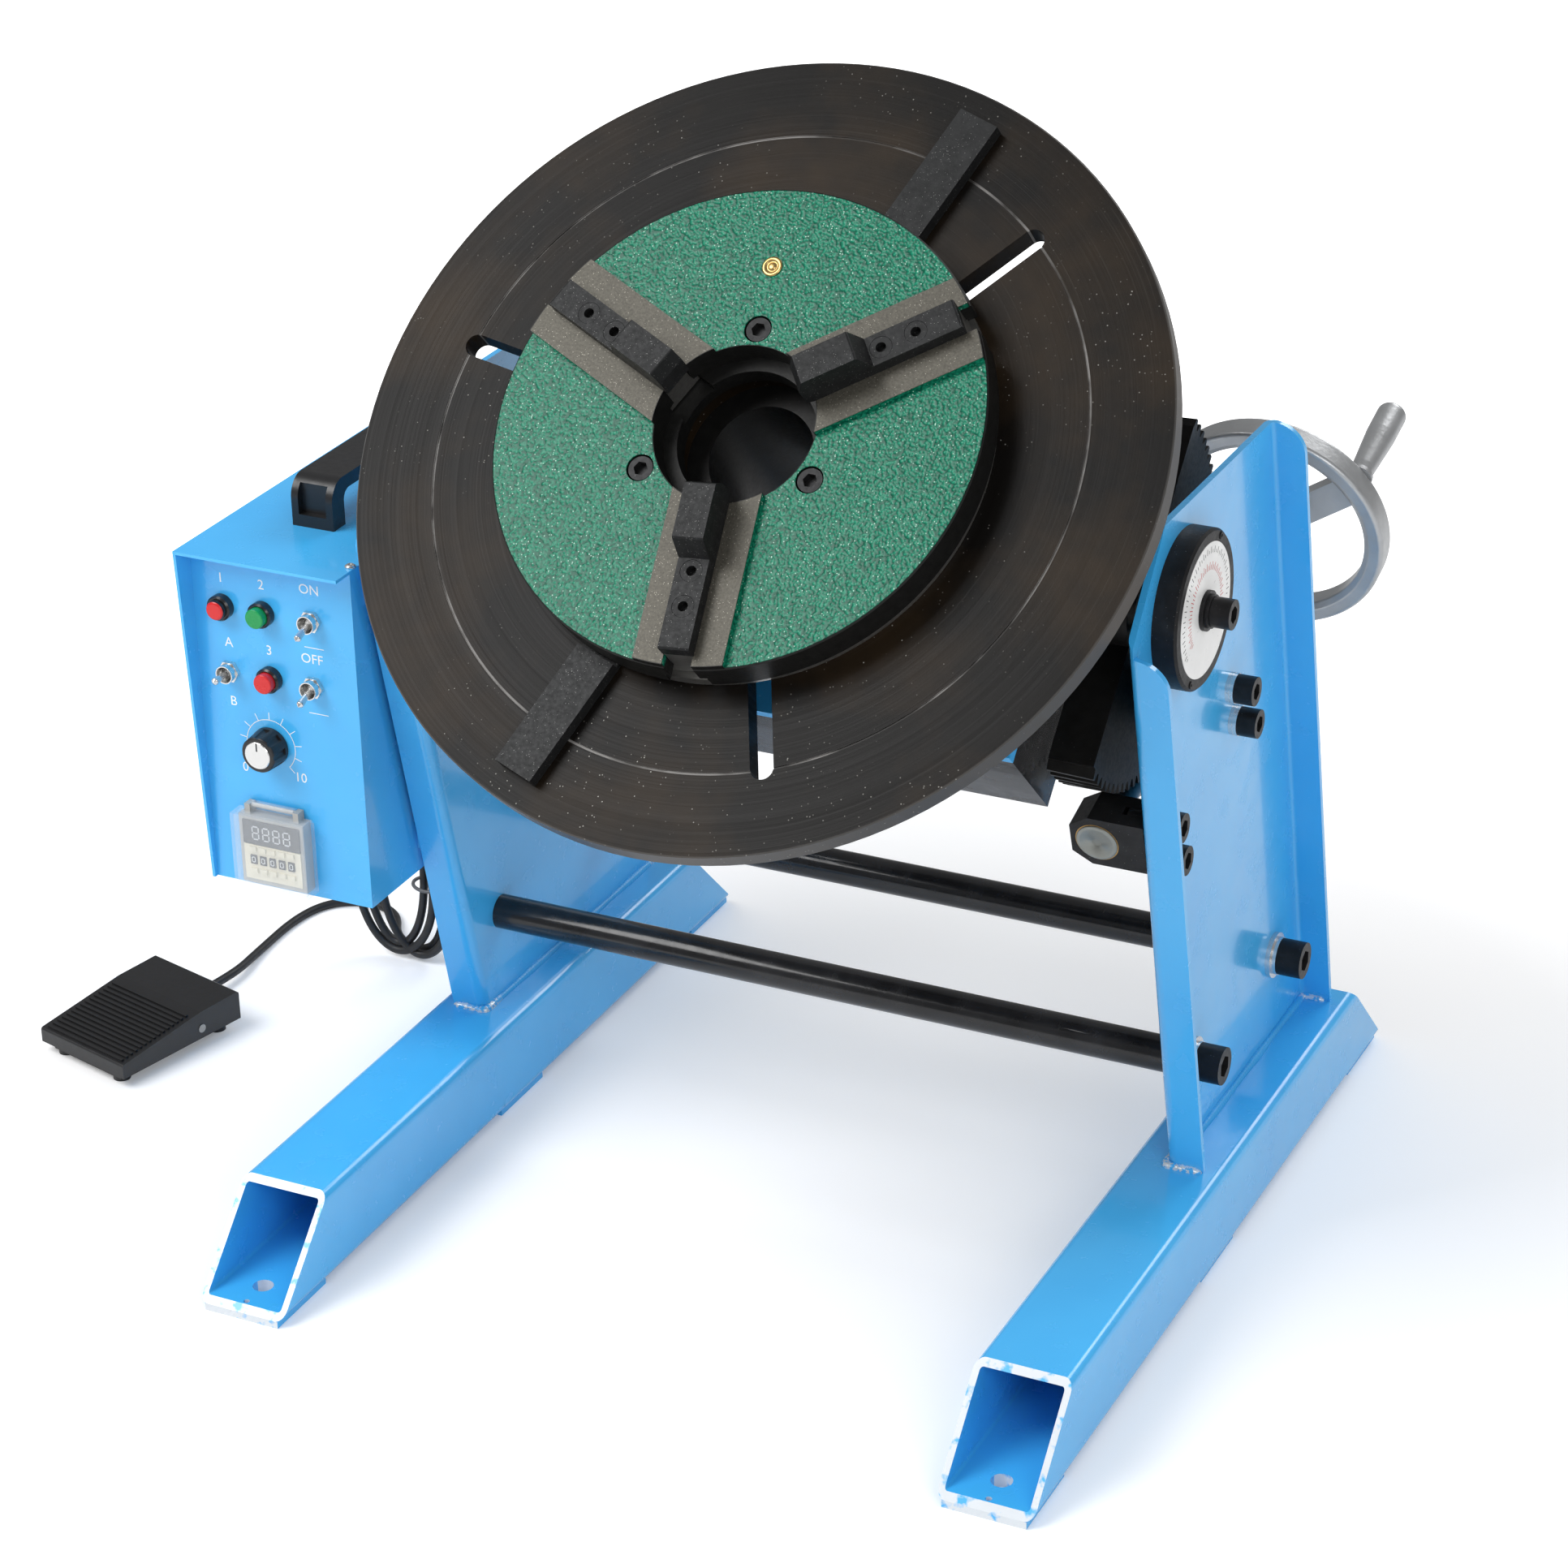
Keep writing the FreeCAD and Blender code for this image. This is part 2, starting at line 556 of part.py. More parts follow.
def case_box(name, inset, low, height):
    """Box over the case's plan, shrunk by inset on all sides."""
    feature = bind(doc.addObject("Part::Box", name),
                   Length="2 * dims.case_half_width - %g" % (2 * inset),
                   Width="dims.case_high - dims.case_low - %g" % (2 * inset), Height=height)
    feature.Placement.Base = Vector(case_corner[0] + inset, case_corner[1] + inset, low)
    return feature


wall = size("case_wall")
cover_low = size("case_front") - size("cover_thickness")
case_tube = case_box("case_outside", 0.0, size("case_split"),
                     "dims.case_front - dims.cover_thickness - dims.case_split")
case_hollow = case_box("case_inside", wall, size("case_split") - 1, "200")
keep("gearbox_case", cut("gearbox_case_body", case_tube, [case_hollow]), cradle)

nose_top = size("case_front") + size("front_bearing_width")
cover_plate = case_box("front_cover_plate", 0.0, cover_low, "dims.cover_thickness")
nose = cylinder("front_cover_nose", "dims.front_bearing_radius + 14",
                "dims.front_bearing_width", (0, offset, size("case_front")))
nose_seat = cylinder("front_cover_seat", "dims.front_bearing_radius",
                     "dims.front_bearing_width + 1", (0, offset, size("case_front")))
cover_hole = cylinder("front_cover_hole", "dims.spindle_radius + 3", "100",
                      (0, offset, cover_low - 1))
keep("gearbox_front_cover",
     cut("gearbox_front_cover_body", fuse("front_cover_solid", [cover_plate, nose]),
         [nose_seat, cover_hole]), cradle)

back_low = size("case_back")
rear_shell = case_box("rear_cover_outside", 0.0, back_low, "dims.case_split - dims.case_back")
rear_hollow = case_box("rear_cover_inside", wall, back_low + size("back_thickness"), "200")
rear_boss = cylinder("rear_cover_boss", "dims.rear_bearing_radius + 8",
                     "dims.rear_bearing_width", (0, offset, back_low))
rear_seat = cylinder("rear_cover_seat", "dims.rear_bearing_radius", "60",
                     (0, offset, back_low - 1))
gear_distance = size("gear_module") * (size("gear_teeth") + size("pinion_teeth")) / 2
output_x = -gear_distance
output_hole = cylinder("rear_cover_output_hole", "14", "60",
                       (output_x, offset, back_low - 1))
keep("gearbox_rear_cover",
     cut("gearbox_rear_cover_body",
         fuse("rear_cover_solid", [cut("rear_cover_shell", rear_shell, [rear_hollow]), rear_boss]),
         [rear_seat, output_hole]), cradle)

bearing_gap = size("fit_gap")
bearings = [ring("spindle_bearing_front", size("spindle_radius") + bearing_gap,
                 size("front_bearing_radius"), size("front_bearing_width"),
                 (0, offset, size("case_front"))),
            ring("spindle_bearing_rear", size("spindle_tail_radius") + bearing_gap,
                 size("rear_bearing_radius"), size("rear_bearing_width"), (0, offset, back_low))]
keep("spindle_bearings", group("spindle_bearings", bearings), cradle)

# pivot shafts: a flange on each side of the case and a journal in the plate's bush
journal_end = web_outer + size("flange_depth") - size("dial_recess") + 0.2
shafts = []
for side in (-1, 1):
    tag = "left" if side < 0 else "right"
    profile = [(0, 0), (40.0, 0), (40.0, 8.0), (size("pivot_radius") + 4, 8.0),
               (size("pivot_radius"), 12.0), (size("pivot_radius"), journal_end - half_case),
               (0, journal_end - half_case)]
    shaft = turned("pivot_shaft_" + tag, profile)
    shaft.Placement = Placement(Vector(side * half_case, 0, 0),
                                Rotation(Vector(0, 0, 1), Vector(side, 0, 0)))
    thread = cylinder("pivot_thread_" + tag, "6 + dims.fit_gap", "32",
                      ((journal_end - 31) if side > 0 else -journal_end - 1, 0, 0), "X")
    shafts.append(cut("pivot_shaft_%s_tapped" % tag, shaft, [thread]))
keep("pivot_shafts", group("pivot_shafts", shafts), cradle)

dial = ring("dial_disc", 6.5, size("dial_radius"), size("dial_thickness"),
            (journal_end, 0, 0), (1, 0, 0))
keep("dial_plate", group("dial_plate_group", [dial]), cradle)
end_bolts = []
for side in (-1, 1):
    tag = "left" if side < 0 else "right"
    seat = journal_end + (size("dial_thickness") if side > 0 else 0)
    if side < 0:
        end_bolts.append(ring("pivot_keeper", 6.5, size("dial_radius") - 6, 2.4,
                              (-journal_end, 0, 0), (-1, 0, 0)))
        seat = journal_end + 2.4
    end_bolts.append(ring("pivot_washer_" + tag, 6.5, 12.0, 2.5, (side * seat, 0, 0),
                          (side, 0, 0)))
    end_bolts.append(ring("pivot_spring_" + tag, 6.3, 10.0, 2.5, (side * (seat + 2.5), 0, 0),
                          (side, 0, 0)))
    end_bolts.append(socket_screw("pivot_screw_" + tag, 12.0, 28.0,
                                  (side * (seat + 5.0), 0, 0), (side, 0, 0)))
keep("pivot_end_screws", group("pivot_end_screws", end_bolts), cradle)

# gear motor behind the case: a right-angle reducer with the motor standing across it
reducer_half = size("reducer_size") / 2
reducer = box("reducer_block", "dims.reducer_size", "dims.reducer_size", "dims.reducer_depth",
              (output_x - reducer_half, offset - reducer_half,
               back_low - size("reducer_depth")))
motor_z = back_low - size("reducer_depth") / 2
motor_start = offset + reducer_half
neck = cylinder("motor_neck", "dims.motor_radius - 6", "12", (output_x, motor_start, motor_z),
                "Y")
can = cylinder("motor_can", "dims.motor_radius", "dims.motor_length",
               (output_x, motor_start + 12, motor_z), "Y")
end_cap = cone("motor_cap", "dims.motor_radius - 2", "dims.motor_radius - 9", "10",
               (output_x, motor_start + 12 + size("motor_length"), motor_z), "Y")
shaft_hole = cylinder("reducer_shaft_hole", "9 + dims.fit_gap", "42",
                      (output_x, offset, back_low - 40))
keep("gear_motor", cut("gear_motor_body",
                       fuse("gear_motor_solid", [reducer, neck, can, end_cap]), [shaft_hole]),
     cradle)


# ---------------------------------------------------------------------------------------------
# Gear teeth: straight-sided at 20 degrees, play taken off both flanks
# ---------------------------------------------------------------------------------------------
def tooth_corners(module, teeth, number, play, phase, outward=1.0):
    """Four corners of one tooth, root to tip to root, in polar terms (radius, angle)."""
    pitch_radius = module * teeth / 2
    half_pitch = math.pi * module / 4 - play / 2
    lean_in = math.tan(math.radians(20))
    root = pitch_radius - 1.25 * module
    tip = pitch_radius + module
    half_root = (half_pitch + 1.25 * module * lean_in) / root
    half_tip = (half_pitch - module * lean_in) / tip
    middle = phase + number * 2 * math.pi / teeth
    return [(root, middle - half_root), (tip, middle - half_tip), (tip, middle + half_tip),
            (root, middle + half_root)]


def polar(radius, angle, height=0.0):
    return Vector(radius * math.cos(angle), radius * math.sin(angle), height)


def gear_shape(module, teeth, width, bore, play, phase):
    """Spur gear as one extruded outline, less its bore."""
    points = []
    for number in range(int(teeth)):
        points += [polar(r, a) for r, a in tooth_corners(module, teeth, number, play, phase)]
    outline = Part.Face(Part.makePolygon(points + [points[0]]))
    blank = outline.extrude(Vector(0, 0, width))
    return blank.cut(Part.makeCylinder(bore, width + 2, Vector(0, 0, -1)))


def make_spindle_gears():
    module = size("gear_module")
    teeth = size("gear_teeth")
    play = size("tooth_play")
    width = size("gear_width")
    bore = size("spindle_radius") + size("fit_gap")
    # a gap of the wheel faces the pinion, which stands on its -X side
    wheel = doc.addObject("Part::Feature", "spindle_gear_teeth")
    wheel.Shape = gear_shape(module, teeth, width, bore, play, math.pi + math.pi / teeth)
    low = size("gear_low")
    keep("spindle_gear", wheel, cradle.multiply(Placement(Vector(0, offset, low), Rotation())))
    # a tooth of the pinion faces the wheel
    pinion = doc.addObject("Part::Feature", "drive_pinion_teeth")
    toothed = gear_shape(module, size("pinion_teeth"), width, 4.0, play, 0.0)
    tail = size("case_back") - 38 - low
    shaft = Part.makeCylinder(9.0, width - tail + 4, Vector(0, 0, tail))
    pinion.Shape = toothed.fuse(shaft).removeSplitter()
    keep("drive_pinion", pinion,
         cradle.multiply(Placement(Vector(output_x, offset, low), Rotation())))


make_spindle_gears()

# ---------------------------------------------------------------------------------------------
# Tilt sector: half a worm wheel on the right pivot shaft, its teeth set at the worm's lead angle
# ---------------------------------------------------------------------------------------------
lead = math.pi * size("sector_module")
lead_angle = math.atan(lead / (2 * math.pi * size("worm_pitch_radius")))


def sector_outline(turn):
    """Outline of the half wheel in the plane across the tilt axis, turned about that axis."""
    module = size("sector_module")
    teeth = size("sector_teeth")
    tip = sector_pitch_radius + module
    root = sector_pitch_radius - 1.25 * module
    edge = size("sector_edge")
    contact = math.radians(size("worm_slope") - 90 - size("rest_tilt"))
    first_gap = contact + turn
    pitch = 2 * math.pi / teeth
    start = -math.pi - math.asin(edge / root) + 0.5 * pitch
    end = math.asin(edge / root) - 0.5 * pitch
    points = [polar(root, -math.pi - math.asin(edge / root))]
    low = int(math.ceil((start - (contact + pitch / 2)) / pitch))
    high = int(math.floor((end - (contact + pitch / 2)) / pitch))
    for number in range(low, high + 1):
        corners = tooth_corners(module, teeth, number, 0.0, first_gap + pitch / 2)
        points += [polar(r, a) for r, a in corners]
    points.append(polar(root, math.asin(edge / root)))
    return Part.makePolygon(points + [points[0]]), tip


def make_sector():
    width = size("sector_width")
    twist = width * math.tan(lead_angle) / sector_pitch_radius
    near, _ = sector_outline(-twist / 2)
    far, _ = sector_outline(twist / 2)
    far.translate(Vector(0, 0, width))
    toothed = Part.makeLoft([near, far], True, True)
    hub = Part.makeCylinder(size("sector_hub_radius"), width)
    bore = Part.makeCylinder(size("pivot_radius") + size("fit_gap") / 2, width + 2,
                             Vector(0, 0, -1))
    sector = doc.addObject("Part::Feature", "tilt_sector_teeth")
    sector.Shape = toothed.fuse(hub).cut(bore)
    # the outline's axes become the cradle's Y and Z, its normal becomes X
    stand = Placement(Vector(size("sector_centre") - width / 2, 0, 0),
                      Rotation(Vector(0, 1, 0), Vector(0, 0, 1), Vector(1, 0, 0), "ZXY"))
    keep("tilt_sector", sector, cradle.multiply(stand))


make_sector()


# ---------------------------------------------------------------------------------------------
# Worm shaft with one right-hand thread, and the handwheel with its turning handle
# ---------------------------------------------------------------------------------------------
def make_worm():
    module = size("sector_module")
    half_length = size("worm_half_length")
    core = size("worm_pitch_radius") - 1.25 * module
    tip = size("worm_pitch_radius") + module
    start = size("front_bracket_along") - size("bracket_thickness") / 2
    end = size("wheel_along") + size("hub_length") / 2
    radius = size("worm_shaft_radius")
    shaft = Part.makeCylinder(radius, end - start, Vector(0, 0, start))
    body = Part.makeCylinder(core, 2 * half_length, Vector(0, 0, -half_length))
    front_collar = Part.makeCylinder(14.0, 6, Vector(0, 0, size("front_bracket_along")
                                                     + size("bracket_thickness") / 2 + 0.3))
    rear_collar = Part.makeCylinder(14.0, 6, Vector(0, 0, size("rear_bracket_along")
                                                    - size("bracket_thickness") / 2 - 6.3))
    turns = int((2 * half_length - lead) / lead)
    thread_length = turns * lead
    low = -thread_length / 2
    helix = Part.makeHelix(lead, thread_length, size("worm_pitch_radius"))
    half_pitch = lead / 4 - size("worm_play") / 2
    lean_in = math.tan(math.radians(20))
    foot = core - 0.4
    half_foot = half_pitch + (size("worm_pitch_radius") - foot) * lean_in
    half_tip = half_pitch - module * lean_in
    profile = Part.makePolygon([Vector(foot, 0, -half_foot), Vector(tip, 0, -half_tip),
                                Vector(tip, 0, half_tip), Vector(foot, 0, half_foot),
                                Vector(foot, 0, -half_foot)])
    thread = Part.Wire(helix).makePipeShell([profile], True, True)
    # the thread's crest faces the wheel (the -Y side) at the middle of the worm
    turn = -90.0 if turns % 2 == 0 else 90.0
    thread.Placement = Placement(Vector(0, 0, low), Rotation(Vector(0, 0, 1), turn))
    worm = doc.addObject("Part::Feature", "worm_shaft_thread")
    worm.Shape = shaft.fuse([body, front_collar, rear_collar]).fuse(thread).removeSplitter()
    keep("worm_shaft", worm, worm_frame)


make_worm()

rim_middle = size("wheel_radius") - size("rim_height") / 2
wheel_z = size("wheel_along")
rim_low = wheel_z - size("rim_width") / 2
rim_high = wheel_z + size("rim_width") / 2
rim_inner = size("wheel_radius") - size("rim_height")
rim = turned("handwheel_rim", [(rim_inner, rim_low + 3, 2), (rim_inner + 4, rim_low, 2),
                               (size("wheel_radius"), rim_low, 3),
                               (size("wheel_radius"), rim_high, 3),
                               (rim_inner + 4, rim_high, 2), (rim_inner, rim_high - 3, 2)])
hub_low = wheel_z - size("hub_length") / 2
hub = turned("handwheel_hub", [(0, hub_low), (size("hub_radius") - 2, hub_low),
                               (size("hub_radius"), hub_low + 2),
                               (size("hub_radius"), hub_low + size("hub_length") - 2),
                               (size("hub_radius") - 2, hub_low + size("hub_length")),
                               (0, hub_low + size("hub_length"))])
spokes = []
for number in range(3):
    angle = -size("handle_angle") + 120 * number
    spoke = box("handwheel_spoke_%d" % number, "dims.wheel_radius - dims.rim_height / 2",
                "dims.spoke_width", "dims.spoke_thickness",
                (0, -size("spoke_width") / 2, wheel_z - size("spoke_thickness") / 2))
    spoke.Placement = Placement(Vector(0, 0, 0), Rotation(Vector(0, 0, 1), angle)).multiply(
        spoke.Placement)
    spokes.append(spoke)
stud_x, stud_y = on_circle(rim_middle, -size("handle_angle"))
stud = cylinder("handwheel_stud", "4", "dims.handle_length + 2", (stud_x, stud_y, rim_high - 4))
boss = cylinder("handwheel_boss", "8.5", "3", (stud_x, stud_y, rim_high - 1))
wheel_bore = cylinder("handwheel_bore", "dims.worm_shaft_radius + dims.fit_gap / 2",
                      "dims.hub_length + 2", (0, 0, hub_low - 1))
keep("handwheel",
     cut("handwheel_body", fuse("handwheel_solid", [rim, hub, stud, boss] + spokes), [wheel_bore]),
     worm_frame)
grip_base = rim_high + 2.3
grip_r = size("handle_radius")
grip_l = size("handle_length")
grip = turned("handwheel_grip_turned",
              [(4.06, grip_base), (grip_r - 3.0, grip_base), (grip_r - 2.0, grip_base + 6),
               (grip_r, grip_base + grip_l * 0.6), (grip_r, grip_base + grip_l, 5),
               (0, grip_base + grip_l), (0, grip_base + grip_l - 3),
               (4.06, grip_base + grip_l - 3)])
keep("handwheel_grip", grip,
     worm_frame.multiply(Placement(Vector(stud_x, stud_y, 0), Rotation())))

# ---------------------------------------------------------------------------------------------
# Turntable: hollow spindle, table with three radial slots
# ---------------------------------------------------------------------------------------------
table_back = size("table_face") - size("table_thickness")
tail = size("case_back") - 4
flange_low = table_back - size("spindle_flange_thickness")
shoulder = size("case_back") + size("rear_bearing_width") + 0.5
spindle = turned("spindle_turned",
                 [(size("spindle_bore"), tail), (size("spindle_tail_radius"), tail),
                  (size("spindle_tail_radius"), shoulder), (size("spindle_radius"), shoulder),
                  (size("spindle_radius"), flange_low), (size("spindle_flange_radius"), flange_low),
                  (size("spindle_flange_radius"), table_back), (size("spindle_bore"), table_back)])
spindle_place = cradle.multiply(Placement(Vector(0, offset, 0), Rotation()))
keep("spindle", spindle, spindle_place)


def radial_slot(name, angle):
    """Round-ended slot along a radius, as a prism through the table."""
    half = size("slot_width") / 2
    inner = size("slot_inner")
    outer = size("slot_outer")
    body = padded(name, "XY_Plane", [[(inner, -half, half - 0.01), (outer, -half, half - 0.01),
                                      (outer, half, half - 0.01), (inner, half, half - 0.01)]],
                  "dims.table_thickness + 2", table_back - 1)
    body.Placement.Rotation = Rotation(Vector(0, 0, 1), angle)
    return body


rim_chamfer = 1.0
groove_in = size("circle_radius") - size("circle_width") / 2
groove_out = size("circle_radius") + size("circle_width") / 2
groove_low = size("table_face") - size("circle_depth")
disc = turned("table_disc", [(size("table_bore"), table_back),
                             (size("table_radius") - rim_chamfer, table_back),
                             (size("table_radius"), table_back + rim_chamfer),
                             (size("table_radius"), size("table_face") - rim_chamfer),
                             (size("table_radius") - rim_chamfer, size("table_face")),
                             (groove_out, size("table_face")), (groove_out, groove_low),
                             (groove_in, groove_low), (groove_in, size("table_face")),
                             (size("table_bore"), size("table_face"))])
slots = [radial_slot("table_slot_%d" % n, size("slot_angle") + 120 * n) for n in range(3)]
keep("table", cut("table_body", disc, slots), spindle_place)

# ---------------------------------------------------------------------------------------------
# Three-jaw chuck: body with raised lands, scroll ring turned by two flat bars, jaws in T-slots
# ---------------------------------------------------------------------------------------------
land_top = size("chuck_face") + size("land_height")
chuck_screw_seat = size("chuck_face") - 11
body_disc = turned("chuck_disc",
                   [(size("chuck_bore") - 8, size("table_face")),
                    (size("scroll_inner") - 0.3, size("table_face")),
                    (size("scroll_inner") - 0.3, size("chuck_back")),
                    (size("chuck_radius"), size("chuck_back")),
                    (size("chuck_radius"), size("chuck_face") - 1),
                    (size("chuck_radius") - 1, size("chuck_face")),
                    (size("chuck_bore"), size("chuck_face")),
                    (size("chuck_bore"), size("chuck_back") + 4),
                    (size("chuck_bore") - 8, size("chuck_back") + 4)])
land_cap = cylinder("chuck_land_limit", "dims.chuck_radius - 0.5", "dims.land_height + 2",
                    (0, 0, size("chuck_face") - 2))
land_bars = []
jaw_slots = []
screw_seats = []
for number in range(3):
    angle = size("jaw_angle") + 120 * number
    turn = Rotation(Vector(0, 0, 1), angle)
    land = box("chuck_land_%d" % number, "dims.chuck_radius", "dims.land_width",
               "dims.land_height + 1", (0, -size("land_width") / 2, size("chuck_face") - 1))
    land.Placement = Placement(Vector(0, 0, 0), turn).multiply(land.Placement)
    land_bars.append(land)
    narrow = size("jaw_slot") / 2
    wide = size("jaw_key_width") / 2
    key_low = size("chuck_back") - 1
    key_high = size("chuck_back") + 2 + size("jaw_key_height")
    channel_slot = padded("chuck_slot_%d" % number, "YZ_Plane",
                          [[(-wide, key_low, 0), (wide, key_low, 0), (wide, key_high, 0),
                            (narrow, key_high, 0), (narrow, land_top + 1, 0),
                            (-narrow, land_top + 1, 0), (-narrow, key_high, 0),
                            (-wide, key_high, 0)]], "dims.chuck_radius + 10", 30.0)
    channel_slot.Placement.Rotation = turn
    jaw_slots.append(channel_slot)
    x, y = on_circle(size("chuck_bolt_circle"), angle + 60)
    screw_seats.append(cylinder("chuck_seat_%d" % number, "8.5", "20",
                                (x, y, chuck_screw_seat)))
    screw_seats.append(cylinder("chuck_screw_hole_%d" % number, "5.3", "60", (x, y, 80)))
lands = doc.addObject("Part::MultiCommon", "chuck_lands")
lands.Shapes = [fuse("chuck_land_bars", land_bars), land_cap]
bore_tool = cylinder("chuck_bore_tool", "dims.chuck_bore", "60", (0, 0, size("chuck_back") + 4))
keep("chuck_body",
     cut("chuck_body_machined", fuse("chuck_blank", [body_disc, lands]),
         jaw_slots + screw_seats + [bore_tool]), spindle_place)
chuck_screws = []
for number in range(3):
    x, y = on_circle(size("chuck_bolt_circle"), size("jaw_angle") + 60 + 120 * number)
    chuck_screws.append(socket_screw("chuck_screw_%d" % number, 10.0, 18.0,
                                     (x, y, chuck_screw_seat), (0, 0, 1)))
keep("chuck_screws", group("chuck_screws", chuck_screws), spindle_place)

scroll_outer = size("chuck_radius") - size("scroll_rim")
bar_inner = scroll_outer - size("bar_lap")
scroll_low = size("table_face") + 0.3
scroll_high = size("chuck_back") - 0.3


def spiral_groove():
    """Archimedean groove of the scroll as a ribbon between two smooth spirals."""
    pitch = size("scroll_pitch")
    half = size("groove_width") / 2
    first = size("scroll_inner") + 5
    turns = (scroll_outer - first - 6) / pitch
    steps = int(turns * 24)
    sides = []
    for shift in (half, -half):
        points = []
        for step in range(steps + 1):
            angle = 2 * math.pi * turns * step / steps
            points.append(polar(first + pitch * angle / (2 * math.pi) + shift, angle))
        spiral = Part.BSplineCurve()
        spiral.interpolate(points)
        sides.append((spiral, points[0], points[-1]))
    (outer, outer_start, outer_end), (inner, inner_start, inner_end) = sides
    edges = [outer.toShape(), Part.LineSegment(outer_end, inner_end).toShape(), inner.toShape(),
             Part.LineSegment(inner_start, outer_start).toShape()]
    face = Part.Face(Part.Wire(Part.__sortEdges__(edges)))
    groove = face.extrude(Vector(0, 0, size("groove_depth") + 1))
    groove.translate(Vector(0, 0, scroll_high - size("groove_depth")))
    return groove


def make_scroll():
    blank = Part.makeCylinder(scroll_outer, scroll_high - scroll_low,
                              Vector(0, 0, scroll_low))
    bore = Part.makeCylinder(size("scroll_inner"), 40, Vector(0, 0, scroll_low - 1))
    scroll_shape = blank.cut([bore, spiral_groove()])
    for side in (0, 180):
        lap = Part.makeBox(60, size("bar_width"), size("lap_depth") + 1,
                           Vector(bar_inner, -size("bar_width") / 2, scroll_low - 1))
        lap.rotate(Vector(0, 0, 0), Vector(0, 0, 1), size("bar_angle") + side)
        scroll_shape = scroll_shape.cut(lap)
    scroll = doc.addObject("Part::Feature", "scroll_ring_shape")
    scroll.Shape = scroll_shape
    keep("scroll_ring", scroll, spindle_place)


make_scroll()
bars = []
for side in (0, 180):
    tongue = box("scroll_bar_tongue_%d" % side, "dims.bar_lap + dims.scroll_rim + 2",
                 "dims.bar_width", "dims.lap_depth",
                 (bar_inner, -size("bar_width") / 2, scroll_low))
    arm = box("scroll_bar_arm_%d" % side, "dims.bar_length - 1",
              "dims.bar_width", "dims.bar_thickness",
              (size("chuck_radius") + 1, -size("bar_width") / 2, scroll_low))
    bar = fuse("scroll_bar_%d" % side, [tongue, arm])
    bar.Placement.Rotation = Rotation(Vector(0, 0, 1), size("bar_angle") + side)
    bars.append(bar)
keep("scroll_bars", group("scroll_bars_pair", bars), spindle_place)


def make_jaw(number):
    """Master jaw with teeth in the scroll, and the stepped jaw screwed onto it."""
    gap = size("slide_gap")
    narrow = size("jaw_slot") / 2 - gap
    wide = size("jaw_key_width") / 2 - gap
    low = size("chuck_back") + gap
    shoulder_z = size("chuck_back") + 2 + size("jaw_key_height") - gap
    top = land_top + gap
    inner = size("jaw_inner")
    outer = size("jaw_outer")
    key = padded("master_jaw_%d_key" % number, "YZ_Plane",
                 [[(-wide, low, 0), (wide, low, 0), (wide, shoulder_z, 0), (narrow, shoulder_z, 0),
                   (narrow, top, 0), (-narrow, top, 0), (-narrow, shoulder_z, 0),
                   (-wide, shoulder_z, 0)]], "dims.jaw_outer - dims.jaw_inner - 4", inner + 4)
    teeth = []
    for k in range(2):
        turns = (size("jaw_angle") + 120 * (number - 1)) / 360 + 2 + k
        radius = size("scroll_inner") + 5 + size("scroll_pitch") * turns
        tooth = bind(doc.addObject("Part::Box", "master_jaw_%d_tooth_%d" % (number, k)),
                     Length="dims.groove_width * 0.5", Width="dims.jaw_slot - 6",
                     Height="dims.groove_depth + 0.2")
        tooth.Placement.Base = Vector(radius - size("groove_width") * 0.25,
                                      -size("jaw_slot") / 2 + 3,
                                      scroll_high - size("groove_depth") + 0.4)
        teeth.append(tooth)
    screw_holes = [cylinder("master_jaw_%d_thread_%d" % (number, k), "4", "14", (at, 0, top - 12))
                   for k, at in enumerate((size("jaw_screw_near"), size("jaw_screw_far")))]
    turn = spindle_place.multiply(
        Placement(Vector(0, 0, 0), Rotation(Vector(0, 0, 1), size("jaw_angle") + 120 * (number - 1))))
    keep("master_jaw_%d" % number,
         cut("master_jaw_%d_body" % number, fuse("master_jaw_%d_solid" % number, [key] + teeth),
             screw_holes), turn)

    half = size("jaw_slot") / 2 + 0.5
    low_top = land_top + size("jaw_low_height")
    high_top = land_top + size("jaw_high_height")
    step = size("jaw_step")
    jaw = padded("top_jaw_%d_profile" % number, "XZ_Plane",
                 [[(inner, top, 0), (outer, top, 0), (outer, low_top, 1.5), (step + 5, low_top, 0),
                   (step - 1, high_top, 1.5), (inner, high_top, 1), (inner - 4, high_top - 9, 0),
                   (inner - 4, top + 2, 0)]], "2 * (dims.jaw_slot / 2 + 0.5)", midplane=True)
    counterbores = []
    for k, at in enumerate((size("jaw_screw_near"), size("jaw_screw_far"))):
        counterbores.append(cylinder("top_jaw_%d_bore_%d" % (number, k), "4.2", "20",
                                     (at, 0, top - 1)))
        counterbores.append(cylinder("top_jaw_%d_seat_%d" % (number, k), "6.8", "20",
                                     (at, 0, low_top - 6.5)))
    keep("top_jaw_%d" % number, cut("top_jaw_%d_body" % number, jaw, counterbores), turn)
    return half


for jaw_number in (1, 2, 3):
    make_jaw(jaw_number)

# ---------------------------------------------------------------------------------------------
# Control box: folded sheet with a hooded, recessed panel, on two flat bars beside the left plate
# ---------------------------------------------------------------------------------------------
box_left = size("box_right") - size("box_width")
panel_y = size("panel_y")
sheet_wall = size("sheet_wall")
# each item's centre across from the box's left edge and down from its top
PANEL_ITEMS = {
    "pilot": (23.0, 39.0), "reset": (52.6, 39.0), "power": (88.0, 38.0),
    "mode": (25.0, 83.0), "lock": (55.0, 83.0), "direction": (86.3, 83.0),
    "speed": (51.0, 130.3), "timer": (52.0, 202.0),
}


def panel_point(item):
    across, down = PANEL_ITEMS[item]
    return box_left + across, size("box_top") - down


